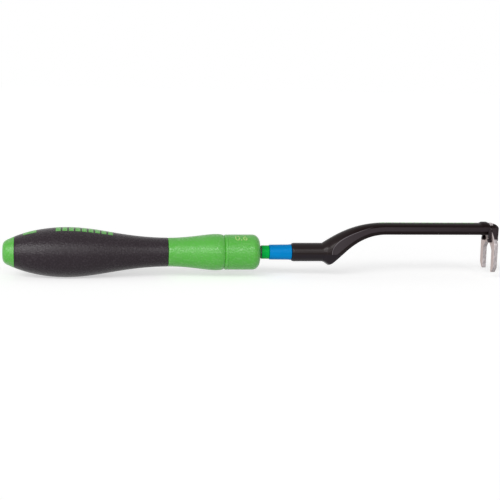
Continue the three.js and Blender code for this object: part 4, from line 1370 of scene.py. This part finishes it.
def figures_mesh(words, x, size, thickness):
    text = bpy.data.curves.new("figures", "FONT")
    text.body = words
    text.size = size * MM
    text.extrude = thickness * MM / 2
    carrier = bpy.data.objects.new("figures", text)
    scene.collection.objects.link(carrier)
    mesh = bpy.data.meshes.new_from_object(carrier.evaluated_get(bpy.context.evaluated_depsgraph_get()))
    bpy.data.objects.remove(carrier)
    shape = bmesh.new()
    shape.from_mesh(mesh)
    bmesh.ops.remove_doubles(shape, verts=shape.verts, dist=FIGURE_WELD)
    for _ in range(FIGURE_ROUNDS):
        bmesh.ops.triangulate(shape, faces=shape.faces)
        long_edges = [e for e in shape.edges if e.calc_length() > FIGURE_EDGE * MM]
        if long_edges:
            bmesh.ops.subdivide_edges(shape, edges=long_edges, cuts=1)
    bmesh.ops.triangulate(shape, faces=shape.faces)
    for vert in shape.verts:
        angle = FIGURE_BASE - vert.co.y / (CAP_R * MM)
        radius = CAP_R * MM + vert.co.z + FIGURE_PROUD * MM
        vert.co = Vector((x * MM + vert.co.x, -radius * math.sin(angle), radius * math.cos(angle)))
    shape.to_mesh(mesh)
    shape.free()
    return mesh


figures = figures_mesh("0.6", x=118.8, size=5.6, thickness=0.06)
keep("cap_figures", figures, PALE_PRINT, "handle", "green_plastic")

# %% [markdown]
# ## Clutch spring
# The spring is one wire wound round the axis. A Screw modifier could wind it, but leaves its ends open,
# so a tree draws a spiral, sweeps a round wire along it and closes the ends. The spring sits behind the
# clutch's front washer and gets shorter as the toothed ring lifts, and the share of its length that it
# keeps at the ring's full travel is worked out from that travel.

# %% Spring
SPRING_COILS, SPRING_R, SPRING_WIRE = 7.0, 4.2, 1.15
COIL_POINTS, WIRE_SIDES = 40, 14


def spring_tree():
    board, given = open_tree("wound_spring", {
        "Geometry": "Geometry", "Coils": "Float", "Mean Radius": "Float", "Length": "Float", "Wire": "Float",
        "Start": "Float", "Finish": "Material",
    })
    spiral = board.add("GeometryNodeCurveSpiral", None, {
        "Resolution": COIL_POINTS, "Rotations": given.of("Coils"), "Start Radius": given.of("Mean Radius"),
        "End Radius": given.of("Mean Radius"), "Height": given.of("Length") - given.of("Wire"),
    })
    wire = board.add("GeometryNodeCurvePrimitiveCircle", None, {
        "Resolution": WIRE_SIDES, "Radius": given.of("Wire") * 0.5,
    })
    coil = board.add("GeometryNodeCurveToMesh", None, {
        "Curve": spiral, "Profile Curve": wire, "Fill Caps": True,
    })
    begin = board.add("ShaderNodeCombineXYZ", None, {"X": given.of("Start") + given.of("Wire") * 0.5})
    lain = board.add("GeometryNodeTransform", None, {
        "Geometry": coil, "Translation": begin, "Rotation": (0.0, math.pi / 2, 0.0),
    })
    return close_tree(board, lain, given.of("Finish"))


spring_low, spring_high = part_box("clutch_spring")
spring_room = spring_high.x - spring_low.x
spring_mesh = grown(spring_tree(), {
    "Coils": SPRING_COILS, "Mean Radius": SPRING_R * MM, "Length": spring_room, "Wire": SPRING_WIRE * MM,
    "Start": spring_low.x, "Finish": SPRING_STEEL,
})
spring = keep("clutch_spring_wire", spring_mesh, SPRING_STEEL, "handle", "dark_steel", "clutch_spring")
ring_travel = next(j for j in frame["joints"] if j["name"] == "clutch_ring_lift")["range_m"]
keep_share = 1.0 - max(abs(v) for v in ring_travel) / spring_room
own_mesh(spring)
print("spring keeps", round(keep_share, 3), "of its length")

# %% [markdown]
# ## The pieces that keep their solids
# The clutch, the spindle and the hexagon shaft are right as they are, and only need their finish. They
# could be built again with finer edges, but next to nothing of them is seen.

# %% Finishes of the solids
KEPT = {
    "clutch_sleeve": BRIGHT_STEEL, "lock_nut": BLACK_STEEL, "preset_screw": BLACK_STEEL,
    "rear_spring_washer": BRIGHT_STEEL, "front_spring_washer": BRIGHT_STEEL, "drive_ring": BLACK_STEEL,
    "output_disc": BLACK_STEEL, "disc_pin": BRIGHT_STEEL, "output_spindle": BLACK_STEEL,
    "socket_magnet": BRIGHT_STEEL, "thrust_washer": BRONZE, "bearing_bush": BRONZE,
    "blade_shaft": BRIGHT_STEEL,
}
for node, finish in KEPT.items():
    solid = frame["nodes"][node]
    solid.data.materials.clear()
    solid.data.materials.append(finish)
print(len(KEPT), "solids dressed")

# %% [markdown]
# ## View transform
# The Standard view transform shows a colour as it was written, where others would grey the white paper.

# %% View transform
scene.view_settings.view_transform = "Standard"
